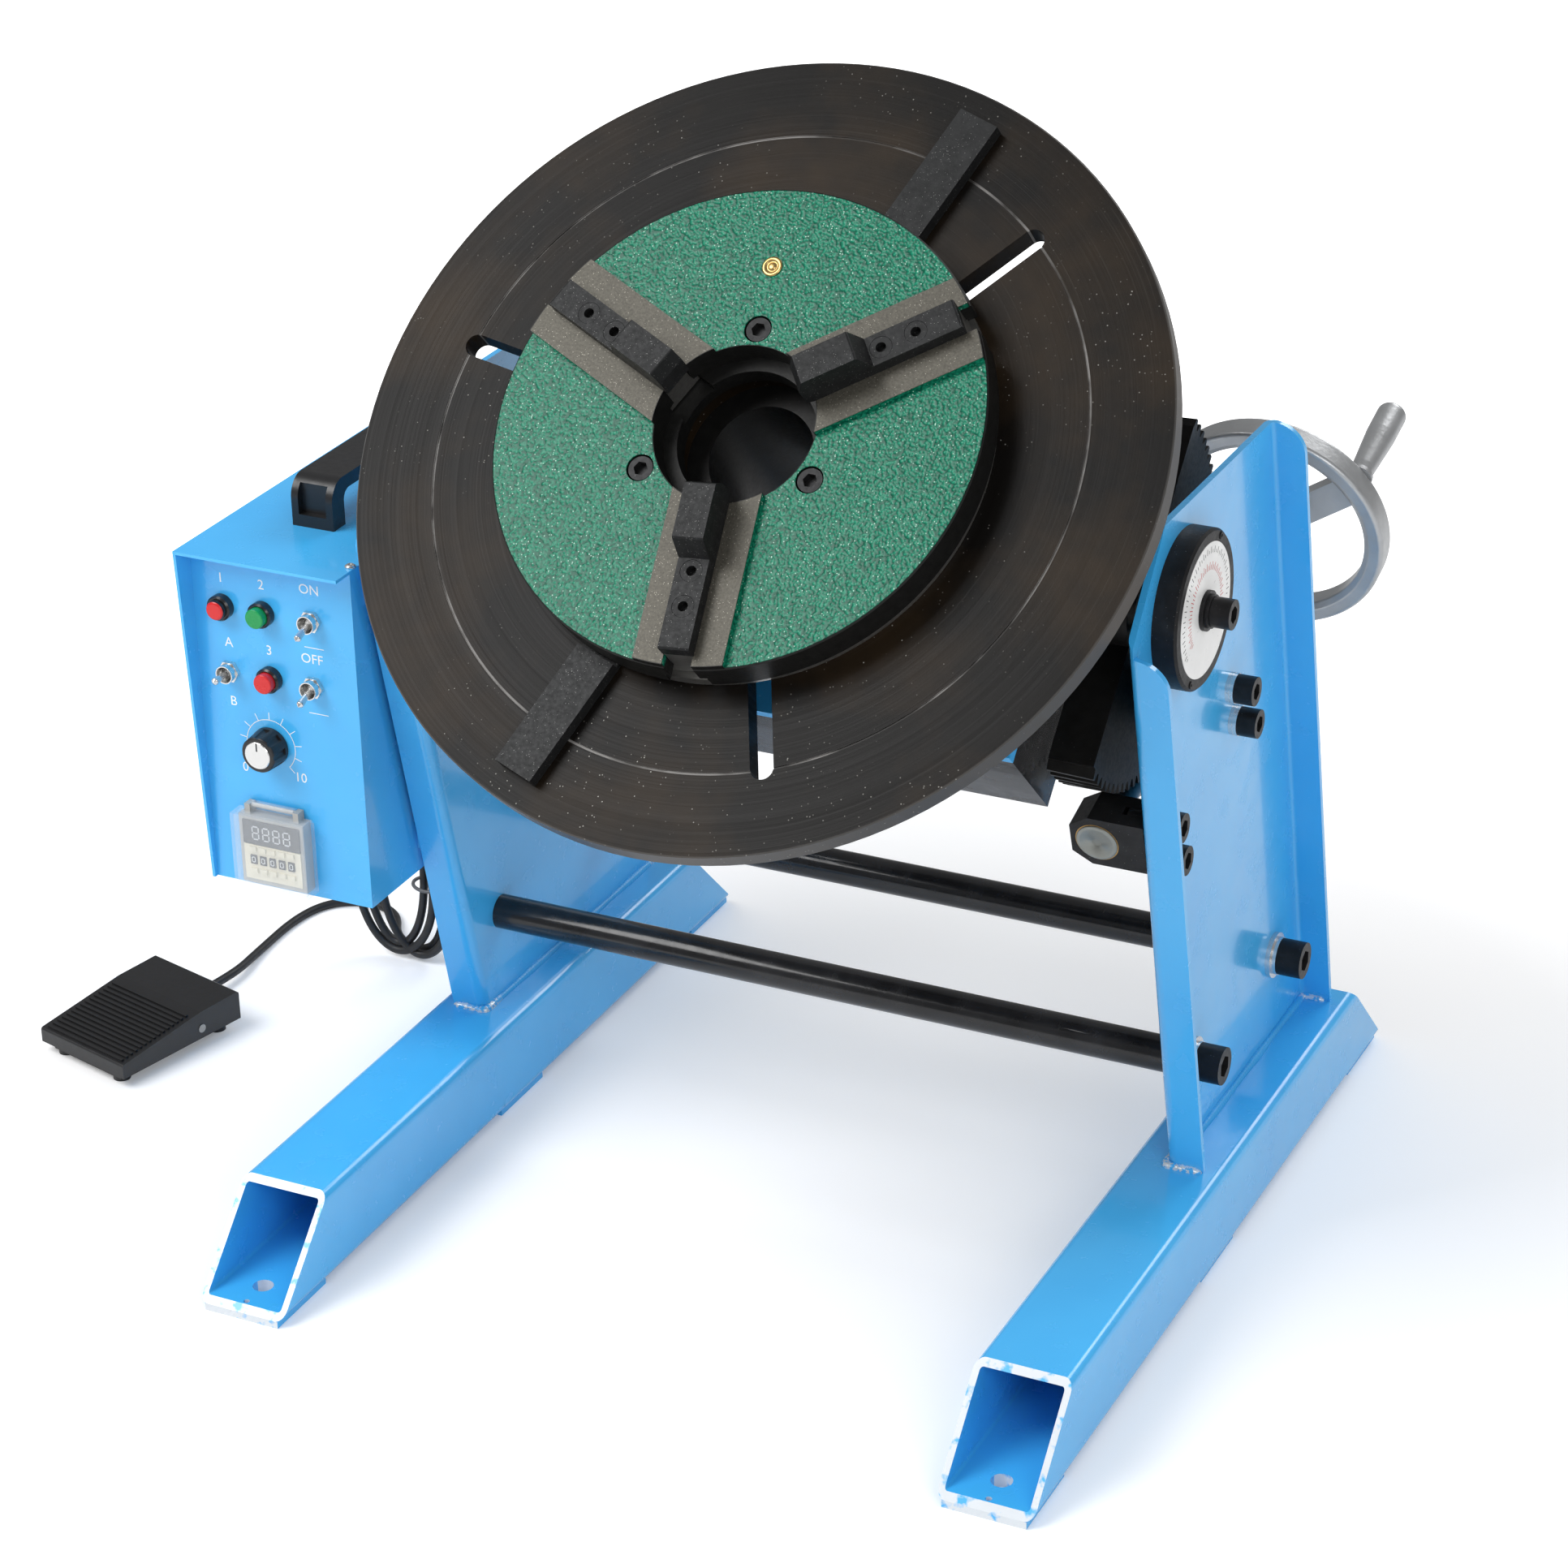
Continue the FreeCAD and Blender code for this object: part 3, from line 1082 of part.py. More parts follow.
def on_panel(item, turn=0.0):
    """Frame on the panel's face: X to the right, Y up, Z out of the panel, turned about X."""
    x, z = panel_point(item)
    return Placement(Vector(x, panel_y, z), Rotation(Vector(1, 0, 0), 90 + turn))


def make_control_box():
    bottom = size("box_bottom")
    top = size("box_top")
    right = size("box_right")
    rear = size("box_rear")
    hood = panel_y - size("hood_overhang")
    foot = panel_y - size("hood_foot_overhang")
    shell = box("box_outside", "dims.box_width", "dims.box_rear - dims.panel_y",
                "dims.box_top - dims.box_bottom", (box_left, panel_y, bottom))
    inside = bind(doc.addObject("Part::Box", "box_inside"),
                  Length="dims.box_width - 2 * dims.sheet_wall",
                  Width="dims.box_rear - dims.panel_y",
                  Height="dims.box_top - dims.box_bottom - 2 * dims.sheet_wall")
    inside.Placement.Base = Vector(box_left + sheet_wall, panel_y + sheet_wall, bottom + sheet_wall)
    hood_top = box("box_hood", "dims.box_width", "dims.hood_overhang + 1", "dims.sheet_wall",
                   (box_left, hood, top - sheet_wall))
    cheek = padded("box_cheek", "YZ_Plane", [[(panel_y + 1, bottom, 0), (foot, bottom, 0),
                                              (hood, top, 0), (panel_y + 1, top, 0)]],
                   "dims.sheet_wall", box_left)
    holes = []
    for item, radius in (("pilot", 6.1), ("reset", 6.1), ("power", 6.3), ("mode", 6.3),
                         ("lock", 6.1), ("direction", 6.3), ("speed", 6.3)):
        hole = cylinder("panel_hole_" + item, "%g" % radius, "20", (0, 0, 0))
        hole.Placement = on_panel(item).multiply(Placement(Vector(0, 0, -10), Rotation()))
        holes.append(hole)
    timer_hole = box("panel_hole_timer", "45.6", "20", "45.6",
                     (panel_point("timer")[0] - 22.8, panel_y - 10,
                      panel_point("timer")[1] - 22.8))
    gland_hole = cylinder("box_gland_hole", "6.2", "10",
                          (size("coil_x") + 22, size("coil_y"), bottom - 4))
    keep("control_box_body",
         cut("control_box_sheet", fuse("box_solid", [shell, hood_top, cheek]),
             [inside, timer_hole, gland_hole] + holes))
    lid = box("box_lid", "dims.box_width", "dims.sheet_wall", "dims.box_top - dims.box_bottom",
              (box_left, rear, bottom))
    keep("control_box_back", group("control_box_back_group", [lid]))
    straps = []
    for number, height in enumerate((192.0, 380.0)):
        start = plate_front_at(height) + 3
        strap = bind(doc.addObject("Part::Box", "box_strap_%d" % number), Height="20")
        strap.Length = -web_outer + size("plate_wall") - size("plate_depth") - right
        strap.Width = rear - start
        strap.Placement.Base = Vector(right, start, height)
        straps.append(strap)
    keep("box_straps", group("box_straps_group", straps))


make_control_box()
handle_x = -325.0
leg_front = -42.0
leg_rear = 95.0
handle_leg = 14.0
box_top = size("box_top")
grip_top = box_top + size("grip_height") - 12
strap_profile = [(leg_front, box_top, 0), (leg_front, grip_top, 14), (leg_rear, grip_top, 14),
                 (leg_rear, box_top, 0), (leg_rear - handle_leg, box_top, 0),
                 (leg_rear - handle_leg, grip_top - 9, 7), (leg_front + handle_leg, grip_top - 9, 7),
                 (leg_front + handle_leg, box_top, 0)]
handle_blank = padded("carry_handle_blank", "YZ_Plane", [strap_profile], "dims.grip_width + 10",
                      handle_x - size("grip_width") / 2 - 5)
handle_recess = box("carry_handle_recess", "dims.grip_width", "6", "20",
                    (handle_x - size("grip_width") / 2, leg_front - 1, box_top + 8))
keep("carry_handle", cut("carry_handle_body", handle_blank, [handle_recess]))

# ---------------------------------------------------------------------------------------------
# Controls on the panel
# ---------------------------------------------------------------------------------------------
bezel_profile = [(2.8, -14), (5.8, -14), (5.8, 0), (8.4, 0), (8.4, 5), (7.4, 6.2), (6.9, 6.2),
                 (6.9, 0.2), (2.8, 0.2)]
cap_profile = [(0, -11), (2.5, -11), (2.5, 3.2), (6.5, 3.2), (6.5, 11, 1), (0, 11)]
fittings = []
for item in ("reset", "lock"):
    bezel = turned("bezel_" + item, bezel_profile)
    bezel.Placement = on_panel(item)
    fittings.append(bezel)
    keep(item + "_button", turned(item + "_button_cap", cap_profile), on_panel(item))
keep("pilot_lamp",
     turned("pilot_lamp_turned", [(0, -16), (5.8, -16), (5.8, 0), (8.4, 0), (8.4, 5), (7.4, 6.2),
                                  (6.5, 6.2), (6.5, 10, 2), (0, 10)]), on_panel("pilot"))
lever_profile = [(0, 0.6), (1.6, 1.0), (2.6, 3.0), (1.6, 5.2), (2.4, 17.0), (2.4, 18.4, 1.2),
                 (0, 20.4)]
for item, rest in (("power", 20.0), ("mode", 0.0), ("direction", 20.0)):
    nut = doc.addObject("Part::Prism", item + "_nut")
    nut.Polygon = 6
    bind(nut, Circumradius="7.4", Height="3")
    barrel = cylinder(item + "_barrel", "6", "18", (0, 0, -10))
    body = box(item + "_switch", "13", "13", "16", (-6.5, -6.5, -18))
    mouth = cone(item + "_mouth", "3.2", "5.4", "8.2", (0, 0, 0.1))
    bushing = cut(item + "_bushing", fuse(item + "_bushing_solid", [nut, barrel, body]), [mouth])
    bushing.Placement = on_panel(item)
    fittings.append(bushing)
    swing = on_panel(item).multiply(Placement(Vector(0, 0, 3), Rotation(Vector(1, 0, 0), rest)))
    keep(item + "_toggle", turned(item + "_lever", lever_profile),
         swing.multiply(Placement(Vector(0, 0, -3), Rotation())))

pot = ring("speed_pot", 3.3, 12.0, 10.0, (0, 0, -12))
pot_nut = ring("speed_pot_nut", 3.3, 6.2, 2.8, (0, 0, -2.4))
speed_pot = fuse("speed_potentiometer", [pot, pot_nut])
speed_pot.Placement = on_panel("speed")
fittings.append(speed_pot)
keep("panel_fittings", group("panel_fittings_group", fittings))
knob_blank = turned("speed_knob_blank", [(0, -8), (3, -8), (3, 0.8), (size("knob_radius"), 0.8),
                                         (size("knob_radius") - 1, size("knob_height"), 1.5),
                                         (0, size("knob_height"))])
flutes = []
for number in range(8):
    x, y = on_circle(size("knob_radius") + 1.6, 45 * number)
    flutes.append(cylinder("speed_knob_flute_%d" % number, "3.2", "14", (x, y, 3.5)))
keep("speed_knob", cut("speed_knob_body", knob_blank, flutes), on_panel("speed"))

half_timer = size("timer_size") / 2 - 1
timer_face = box("timer_face", "dims.timer_size - 2", "dims.timer_size - 2",
                 "dims.timer_depth", (-half_timer, -half_timer, 0))
timer_rear = box("timer_rear", "45", "45", "62", (-22.5, -22.5, -60))
timer_ears = [box("timer_ear_%d" % x, "4", "8", "7", (x, half_timer - 1, 0.6))
              for x in (-20, 16)]
hinge_y = half_timer + 5.5
hinge_z = 4.0
timer_rod = cylinder("timer_rod", "1.4", "40", (-20, hinge_y, hinge_z), "X")
keep("timer_body", fuse("timer_case", [timer_face, timer_rear, timer_rod] + timer_ears),
     on_panel("timer"))
cover_out = box("timer_cover_outside", "54", "52", "14", (-27, -26, 0.5))
cover_in = box("timer_cover_inside", "51", "49", "12.5", (-25.5, -24.5, 0.4))
ear_gaps = [box("timer_cover_gap_%d" % x, "4.8", "6", "8", (x - 0.4, 22, 0.4))
            for x in (-20, 16)]
relief = box("timer_cover_relief", "60", "4", "2.1", (-30, 23, 0.4))
sleeve = cylinder("timer_cover_sleeve", "3", "31", (-15.5, hinge_y, hinge_z), "X")
web = box("timer_cover_web", "31", "4", "2", (-15.5, 25, hinge_z))
sleeve_bore = cylinder("timer_cover_bore", "1.7", "40", (-20, hinge_y, hinge_z), "X")
shell = cut("timer_cover_shell", cover_out, [cover_in, relief] + ear_gaps)
keep("timer_cover", cut("timer_cover_body", fuse("timer_cover_solid", [shell, sleeve, web]),
                        [sleeve_bore]), on_panel("timer"))

# ---------------------------------------------------------------------------------------------
# Foot pedal: a pressed treadle rocking on a cross pin over a flat base
# ---------------------------------------------------------------------------------------------
pedal_place = Placement(Vector(size("pedal_x"), size("pedal_y"), 0),
                        Rotation(Vector(0, 0, 1), size("pedal_turn")))
base_half = size("pedal_half_width") - 4
base_end = size("pedal_half_length") - 4
pin_y = size("pedal_pin_y")
pin_z = size("pedal_pin_z")
pin_r = size("pedal_pin_radius")
base_plate = box("pedal_base_plate", "2 * dims.pedal_half_width - 8",
                 "2 * dims.pedal_half_length - 8", "4", (-base_half, -base_end, 3))
rubber_feet = [cylinder("pedal_foot_%d%d" % (x > 0, y > 0), "6", "4", (x, y, 0))
               for x in (6 - base_half, base_half - 6) for y in (6 - base_end, base_end - 6)]
cheeks = [box("pedal_cheek_%s" % tag, "4", "20", "17", (x, pin_y - 10, 3))
          for tag, x in (("left", -base_half), ("right", base_half - 4))]
switch_block = box("pedal_switch", "40", "26", "9", (-20, base_end - 26, 4))
pin_hole = cylinder("pedal_pin_hole", "dims.pedal_pin_radius + dims.fit_gap", "120",
                    (-60, pin_y, pin_z), "X")
keep("pedal_base", cut("pedal_base_body",
                       fuse("pedal_base_solid", [base_plate, switch_block] + cheeks + rubber_feet),
                       [pin_hole]), pedal_place)
pin_half = size("pedal_half_width") + 4.5
pin_rod = cylinder("pedal_pin_rod", "dims.pedal_pin_radius", "2 * %g" % pin_half,
                   (-pin_half, pin_y, pin_z), "X")
keep("pedal_pin", group("pedal_pin_group", [pin_rod]), pedal_place)
toe = -size("pedal_half_length")
heel = size("pedal_half_length")
treadle_outside = padded("treadle_outside", "YZ_Plane",
                         [[(toe, 7.5, 0), (heel, 9, 0), (heel, 30, 2), (pin_y, 28.5, 0),
                           (toe, 18, 2)]],
                         "2 * dims.pedal_half_width + 8", -size("pedal_half_width") - 4)
treadle_inside = padded("treadle_inside", "YZ_Plane",
                        [[(toe + 3, 5, 0), (heel + 1, 5, 0), (heel + 1, 26, 0), (pin_y, 24.5, 0),
                          (toe + 3, 14, 0)]],
                        "2 * dims.pedal_half_width + 1", -size("pedal_half_width") - 0.5)
slope_angle = math.degrees(math.atan2(28.5 - 18, pin_y - toe))
ribs = []
for number in range(15):
    rib = box("treadle_rib_%d" % number, "2 * dims.pedal_half_width", "2", "2.4",
              (-size("pedal_half_width"), 3 + 4.2 * number, -1))
    rib.Placement = Placement(Vector(0, toe, 18), Rotation(Vector(1, 0, 0), slope_angle)).multiply(
        rib.Placement)
    ribs.append(rib)
treadle_hole = cylinder("treadle_pin_hole", "dims.pedal_pin_radius + dims.fit_gap", "120",
                        (-60, pin_y, pin_z), "X")
keep("pedal_treadle",
     cut("pedal_treadle_body", fuse("treadle_ribbed", [treadle_outside] + ribs),
         [treadle_inside, treadle_hole]), pedal_place)

# ---------------------------------------------------------------------------------------------
# Foot pedal cord: gland under the box, hanging loops, and the run along the floor
# ---------------------------------------------------------------------------------------------
gland_x = size("coil_x") + 22
gland = ring("cord_gland_ring", size("cord_radius") + 0.3, 6.0, 12.0,
             (gland_x, size("coil_y"), size("box_bottom") - 2))
collar = ring("cord_gland_collar", size("cord_radius") + 0.3, 9.0, 8.0,
              (gland_x, size("coil_y"), size("box_bottom") - 8))
keep("cord_gland", fuse("cord_gland_body", [gland, collar]))


def racetrack(name, grow, depth):
    half = size("coil_half_width") - grow
    low = grow
    high = size("coil_height") - grow
    corners = [(-half, low, half - 0.1), (half, low, half - 0.1), (half, high, half - 0.1),
               (-half, high, half - 0.1)]
    body = padded(name, "XZ_Plane", [corners], "%g" % depth, midplane=True)
    body.Placement.Base = Vector(size("coil_x"), size("coil_y"), 0)
    return body


coil = cut("cord_coil", racetrack("coil_outside", 0.0, size("coil_thickness")),
           [racetrack("coil_inside", size("coil_band"), size("coil_thickness") + 4)])
lead_in = cylinder("cord_lead_in", "dims.cord_radius", "24",
                   (gland_x, size("coil_y"), size("box_bottom") - 26))
keep("cord_loops", fuse("cord_loops_body", [coil, lead_in]))


def cord_tube(name, points, radius):
    """Round cord along straight runs joined by tangent arcs; prints its bend radii."""
    path = []
    bends = []
    start = points[0]
    for before, here, after in zip(points, points[1:], points[2:]):
        back = (before - here)
        ahead = (after - here)
        turn = math.pi - back.getAngle(ahead)
        bend = 0.45 * min(back.Length, ahead.Length) / math.tan(turn / 2)
        reach = bend * math.tan(turn / 2)
        back.normalize()
        ahead.normalize()
        enter = here + back * reach
        leave = here + ahead * reach
        middle = here + (back + ahead).normalize() * (bend / math.cos(turn / 2))
        crown = middle + (here - middle).normalize() * bend
        path.append(Part.LineSegment(start, enter).toShape())
        path.append(Part.Arc(enter, crown, leave).toShape())
        bends.append(bend)
        start = leave
    path.append(Part.LineSegment(start, points[-1]).toShape())
    wire = Part.Wire(path)
    section = Part.Wire(Part.Circle(points[0], points[1] - points[0], radius).toShape())
    tube = doc.addObject("Part::Feature", name)
    tube.Shape = wire.makePipeShell([section], True, True)
    expected = wire.Length * math.pi * radius ** 2
    print("%s: length %.0f mm, volume ratio %.4f, bend radii %s" %
          (name, wire.Length, tube.Shape.Volume / expected,
           ", ".join("%.0f" % bend for bend in bends)))
    return tube


floor_z = size("cord_radius")
switch_exit = pedal_place.multVec(Vector(-8, base_end, 8.5))
before_exit = pedal_place.multVec(Vector(-8, base_end + 40, 8.5))
cord_path = [Vector(x, y, floor_z) for x, y in
             ((-388, 140), (-412, 160), (-427, 188.3), (-455.7, 197), (-482.2, 183),
              (-491.5, 150.6), (-489, 100))]
cord_path += [before_exit, switch_exit]
keep("cord_floor_run", cord_tube("cord_floor_tube", cord_path, size("cord_radius")))

# ---------------------------------------------------------------------------------------------
# Checks and export
# ---------------------------------------------------------------------------------------------
doc.recompute()
for feature in doc.Objects:
    if "Invalid" in feature.State or "Error" in feature.State:
        raise RuntimeError("%s did not compute: %s" % (feature.Name, feature.State))
for node, feature in SUBPARTS.items():
    shape = feature.Shape
    if shape.isNull() or not shape.isValid() or not shape.Solids:
        raise RuntimeError("%s has no valid solid" % node)
    shape.exportStep("parts/%s.step" % node)
    print("%-22s %2d solids %9.0f mm3" % (node, len(shape.Solids), shape.Volume))
print("%d sub-parts" % len(SUBPARTS))
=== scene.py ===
import json
import math

import bmesh
import bpy
import numpy as np
from mathutils import Matrix, Vector


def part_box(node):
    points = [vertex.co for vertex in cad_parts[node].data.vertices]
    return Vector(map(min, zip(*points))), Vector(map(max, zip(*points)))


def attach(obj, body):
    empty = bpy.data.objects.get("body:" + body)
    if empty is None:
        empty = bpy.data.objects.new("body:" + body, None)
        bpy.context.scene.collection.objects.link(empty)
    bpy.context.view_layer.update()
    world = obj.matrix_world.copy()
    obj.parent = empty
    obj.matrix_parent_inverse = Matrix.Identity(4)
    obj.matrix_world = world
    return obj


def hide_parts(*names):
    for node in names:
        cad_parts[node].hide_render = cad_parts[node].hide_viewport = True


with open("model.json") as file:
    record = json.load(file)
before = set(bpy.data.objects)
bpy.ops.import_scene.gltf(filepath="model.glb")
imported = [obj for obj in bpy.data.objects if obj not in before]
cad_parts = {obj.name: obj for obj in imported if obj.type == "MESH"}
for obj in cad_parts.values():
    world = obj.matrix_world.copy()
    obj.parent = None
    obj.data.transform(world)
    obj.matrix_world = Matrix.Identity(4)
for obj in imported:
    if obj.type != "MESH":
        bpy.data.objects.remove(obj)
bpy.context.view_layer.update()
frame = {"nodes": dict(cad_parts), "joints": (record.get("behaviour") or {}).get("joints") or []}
node = frame["nodes"]
scene = bpy.context.scene
scene.view_settings.view_transform = "Standard"

# ---------------------------------------------------------------------------------------------
# Camera: stands in front, to the right of the machine and above it, and looks down at it.
# ---------------------------------------------------------------------------------------------
CAMERA_YAW, CAMERA_PITCH, CAMERA_ROLL = -0.457724, -0.452573, -0.019471
CAMERA_PLACE = (0.988442, -2.048806, 1.381277)
LENS_MM, SENSOR_MM = 94.13, 36.0
camera_data = bpy.data.cameras.new("camera")
camera_data.lens = LENS_MM
camera_data.sensor_width = SENSOR_MM
camera = bpy.data.objects.new("camera", camera_data)
scene.collection.objects.link(camera)
forward = Vector((math.sin(CAMERA_YAW) * math.cos(CAMERA_PITCH),
                  math.cos(CAMERA_YAW) * math.cos(CAMERA_PITCH), math.sin(CAMERA_PITCH)))
level = Vector((math.cos(CAMERA_YAW), -math.sin(CAMERA_YAW), 0.0))
upright = level.cross(forward)
right = level * math.cos(CAMERA_ROLL) + upright * math.sin(CAMERA_ROLL)
up = upright * math.cos(CAMERA_ROLL) - level * math.sin(CAMERA_ROLL)
turn = Matrix((right, up, -forward)).transposed().to_4x4()
camera.matrix_world = Matrix.Translation(CAMERA_PLACE) @ turn
scene.camera = camera

# ---------------------------------------------------------------------------------------------
# Studio: a white floor and a white surround with large soft lamps.  The surround is white to the
# camera and through clear plastic, grey as a source of light and darker in reflections.
# ---------------------------------------------------------------------------------------------
SURROUND_LIGHT, SURROUND_REFLECTED = 0.53, 0.24
world = bpy.data.worlds.new("studio")
scene.world = world
world.use_nodes = True
tree = world.node_tree
tree.nodes.clear()
rays = tree.nodes.new("ShaderNodeLightPath")
seen = tree.nodes.new("ShaderNodeMath")
seen.operation = "MAXIMUM"
tree.links.new(rays.outputs["Is Camera Ray"], seen.inputs[0])
tree.links.new(rays.outputs["Is Transmission Ray"], seen.inputs[1])
strength = tree.nodes.new("ShaderNodeMapRange")
strength.inputs["To Max"].default_value = 1.0
tree.links.new(seen.outputs[0], strength.inputs["Value"])
mirrored_light = tree.nodes.new("ShaderNodeMapRange")
mirrored_light.inputs["To Min"].default_value = SURROUND_LIGHT
mirrored_light.inputs["To Max"].default_value = SURROUND_REFLECTED
tree.links.new(rays.outputs["Is Glossy Ray"], mirrored_light.inputs["Value"])
tree.links.new(mirrored_light.outputs["Result"], strength.inputs["To Min"])
surround = tree.nodes.new("ShaderNodeBackground")
surround.inputs["Color"].default_value = (1, 1, 1, 1)
tree.links.new(strength.outputs["Result"], surround.inputs["Strength"])
tree.links.new(surround.outputs[0], tree.nodes.new("ShaderNodeOutputWorld").inputs["Surface"])

# The floor glows to the camera only, more with distance, so that it runs into the white surround.
FLOOR_REACH = 9
GLOW_START_M, GLOW_FULL_M = 0.55, 1.5
GLOW_NEAR, GLOW_FAR = 0.15, 0.9
floor_mesh = bpy.data.meshes.new("floor")
floor_mesh.from_pydata([(FLOOR_REACH * a, FLOOR_REACH * b, 0)
                        for a, b in ((-1, -1), (1, -1), (1, 1), (-1, 1))], [], [(0, 1, 2, 3)])
floor = bpy.data.objects.new("floor", floor_mesh)
scene.collection.objects.link(floor)
floor_paint = bpy.data.materials.new("floor_white")
floor_paint.use_nodes = True
floor_shader = floor_paint.node_tree.nodes["Principled BSDF"]
floor_shader.inputs["Base Color"].default_value = (0.93, 0.93, 0.935, 1)
floor_shader.inputs["Roughness"].default_value = 0.6
floor_shader.inputs["Specular IOR Level"].default_value = 0.2
floor_tree = floor_paint.node_tree
floor_place = floor_tree.nodes.new("ShaderNodeTexCoord")
floor_reach = floor_tree.nodes.new("ShaderNodeVectorMath")
floor_reach.operation = "LENGTH"
floor_tree.links.new(floor_place.outputs["Object"], floor_reach.inputs[0])
floor_fade = floor_tree.nodes.new("ShaderNodeMapRange")
for socket_name, value in (("From Min", GLOW_START_M), ("From Max", GLOW_FULL_M),
                           ("To Min", GLOW_NEAR), ("To Max", GLOW_FAR)):
    floor_fade.inputs[socket_name].default_value = value
floor_tree.links.new(floor_reach.outputs["Value"], floor_fade.inputs["Value"])
floor_seen = floor_tree.nodes.new("ShaderNodeLightPath")
floor_glow = floor_tree.nodes.new("ShaderNodeMath")
floor_glow.operation = "MULTIPLY"
floor_tree.links.new(floor_fade.outputs["Result"], floor_glow.inputs[0])
floor_tree.links.new(floor_seen.outputs["Is Camera Ray"], floor_glow.inputs[1])
floor_shader.inputs["Emission Color"].default_value = (1, 1, 1, 1)
floor_tree.links.new(floor_glow.outputs["Value"], floor_shader.inputs["Emission Strength"])
floor_mesh.materials.append(floor_paint)

for lamp_name, place, aim, size_m, watts in (
        ("lamp_high_left", (-1.6, -1.5, 2.6), (0, 0, 0.3), 1.8, 70),
        ("lamp_front_right", (2.2, -2.2, 1.9), (0, 0, 0.3), 1.4, 26),
        ("lamp_back", (0.6, 2.4, 2.2), (0, 0, 0.35), 1.4, 26)):
    lamp_data = bpy.data.lights.new(lamp_name, "AREA")
    lamp_data.size = size_m
    lamp_data.energy = watts
    lamp = bpy.data.objects.new(lamp_name, lamp_data)
    lamp.location = place
    lamp.rotation_euler = (Vector(aim) - Vector(place)).to_track_quat("-Z", "Y").to_euler()
    scene.collection.objects.link(lamp)

# ---------------------------------------------------------------------------------------------
# Blue paint: glossy sky-blue stoving enamel on the feet, side plates, control box and gearbox
# cover.  It has a faint orange-peel skin and a slightly uneven colour, and it is chipped to a pale
# undercoat on the sawn front ends of the foot tubes.
# ---------------------------------------------------------------------------------------------
PAINT_BLUE = (0.050, 0.430, 0.880)
PAINT_BLUE_THIN = (0.066, 0.480, 0.930)
UNDERCOAT = (0.70, 0.75, 0.80)


def new_material(name):
    """A node material with its shader; Object coordinates come with it."""
    made = bpy.data.materials.new(name)
    made.use_nodes = True
    tree = made.node_tree
    place = tree.nodes.new("ShaderNodeTexCoord").outputs["Object"]
    return made, tree, tree.nodes["Principled BSDF"], place


def wire(tree, kind, output, settings=None, **inputs):
    """Add one node, set or link its inputs by name, and give back one of its outputs."""
    made = tree.nodes.new("ShaderNode" + kind)
    for key, value in (settings or {}).items():
        setattr(made, key, value)
    for key, value in inputs.items():
        socket = made.inputs[int(key[1:])] if key[0] == "i" and key[1:].isdigit() else \
            made.inputs[key.replace("_", " ")]
        if isinstance(value, bpy.types.NodeSocket):
            tree.links.new(value, socket)
        else:
            socket.default_value = value
    return made.outputs[output]


def noise(tree, place, scale, detail=3.0, roughness=0.55):
    """Grey noise, one feature about 1/scale metre wide."""
    return wire(tree, "TexNoise", "Fac", Vector=place, Scale=scale, Detail=detail,
                Roughness=roughness)


def span(tree, value, low, high, to_low=0.0, to_high=1.0):
    """Value mapped in a straight line from low..high to to_low..to_high, held at both ends."""
    return wire(tree, "MapRange", "Result", Value=value, From_Min=low, From_Max=high,
                To_Min=to_low, To_Max=to_high)


def mixed(tree, share, first, second):
    """Colour between two colours by a share of 0 to 1."""
    made = tree.nodes.new("ShaderNodeMix")
    made.data_type = "RGBA"
    for socket, value in ((made.inputs[0], share), (made.inputs[6], first),
                          (made.inputs[7], second)):
        if isinstance(value, bpy.types.NodeSocket):
            tree.links.new(value, socket)
        elif isinstance(value, float):
            socket.default_value = value
        else:
            socket.default_value = (*value, 1)
    return made.outputs[2]


def bump(tree, shader, height, depth_m, strength=1.0):
    """Relief of the given depth in metres on the shader."""
    tree.links.new(wire(tree, "Bump", "Normal", Height=height, Distance=depth_m,
                        Strength=strength), shader.inputs["Normal"])


def dress(material, *names):
    """Put one material on the material slots of carried-over CAD nodes."""
    for name in names:
        for material_slot in node[name].material_slots:
            material_slot.material = material


def math_node(tree, operation, first, second=0.0):
    """One arithmetic step."""
    return wire(tree, "Math", "Value", {"operation": operation}, i0=first, i1=second)


def chipped_mouth(tree, place):
    """Share of chipped paint on the sawn front ends of the foot tubes: faces that look forward,
    in front of y = -0.2 and below 70 mm, broken up by noise."""
    facing = wire(tree, "SeparateXYZ", "Y", Vector=wire(tree, "NewGeometry", "True Normal"))
    where = wire(tree, "SeparateXYZ", "Y", Vector=place)
    height = wire(tree, "SeparateXYZ", "Z", Vector=place)
    front = math_node(tree, "MULTIPLY", span(tree, facing, -0.35, -0.5),
                      math_node(tree, "MULTIPLY", span(tree, where, -0.19, -0.21),
                                span(tree, height, 0.075, 0.070)))
    return math_node(tree, "MULTIPLY", front, span(tree, noise(tree, place, 90.0), 0.36, 0.46))


blue_paint, tree, shader, place = new_material("blue_enamel")
cloud = noise(tree, place, 7.0)
tree.links.new(mixed(tree, chipped_mouth(tree, place), mixed(
    tree, span(tree, cloud, 0.35, 0.65), PAINT_BLUE, PAINT_BLUE_THIN), UNDERCOAT),
    shader.inputs["Base Color"])
tree.links.new(span(tree, noise(tree, place, 60.0), 0.3, 0.7, 0.16, 0.30),
               shader.inputs["Roughness"])
shader.inputs["Coat Weight"].default_value = 0.5
shader.inputs["Coat Roughness"].default_value = 0.08
bump(tree, shader, noise(tree, place, 240.0, 2.0), 0.00012, 0.18)
dress(blue_paint, "foot_right", "foot_left", "foot_pads", "side_plate_right", "side_plate_left",
      "control_box_body", "control_box_back", "box_straps", "gearbox_front_cover")

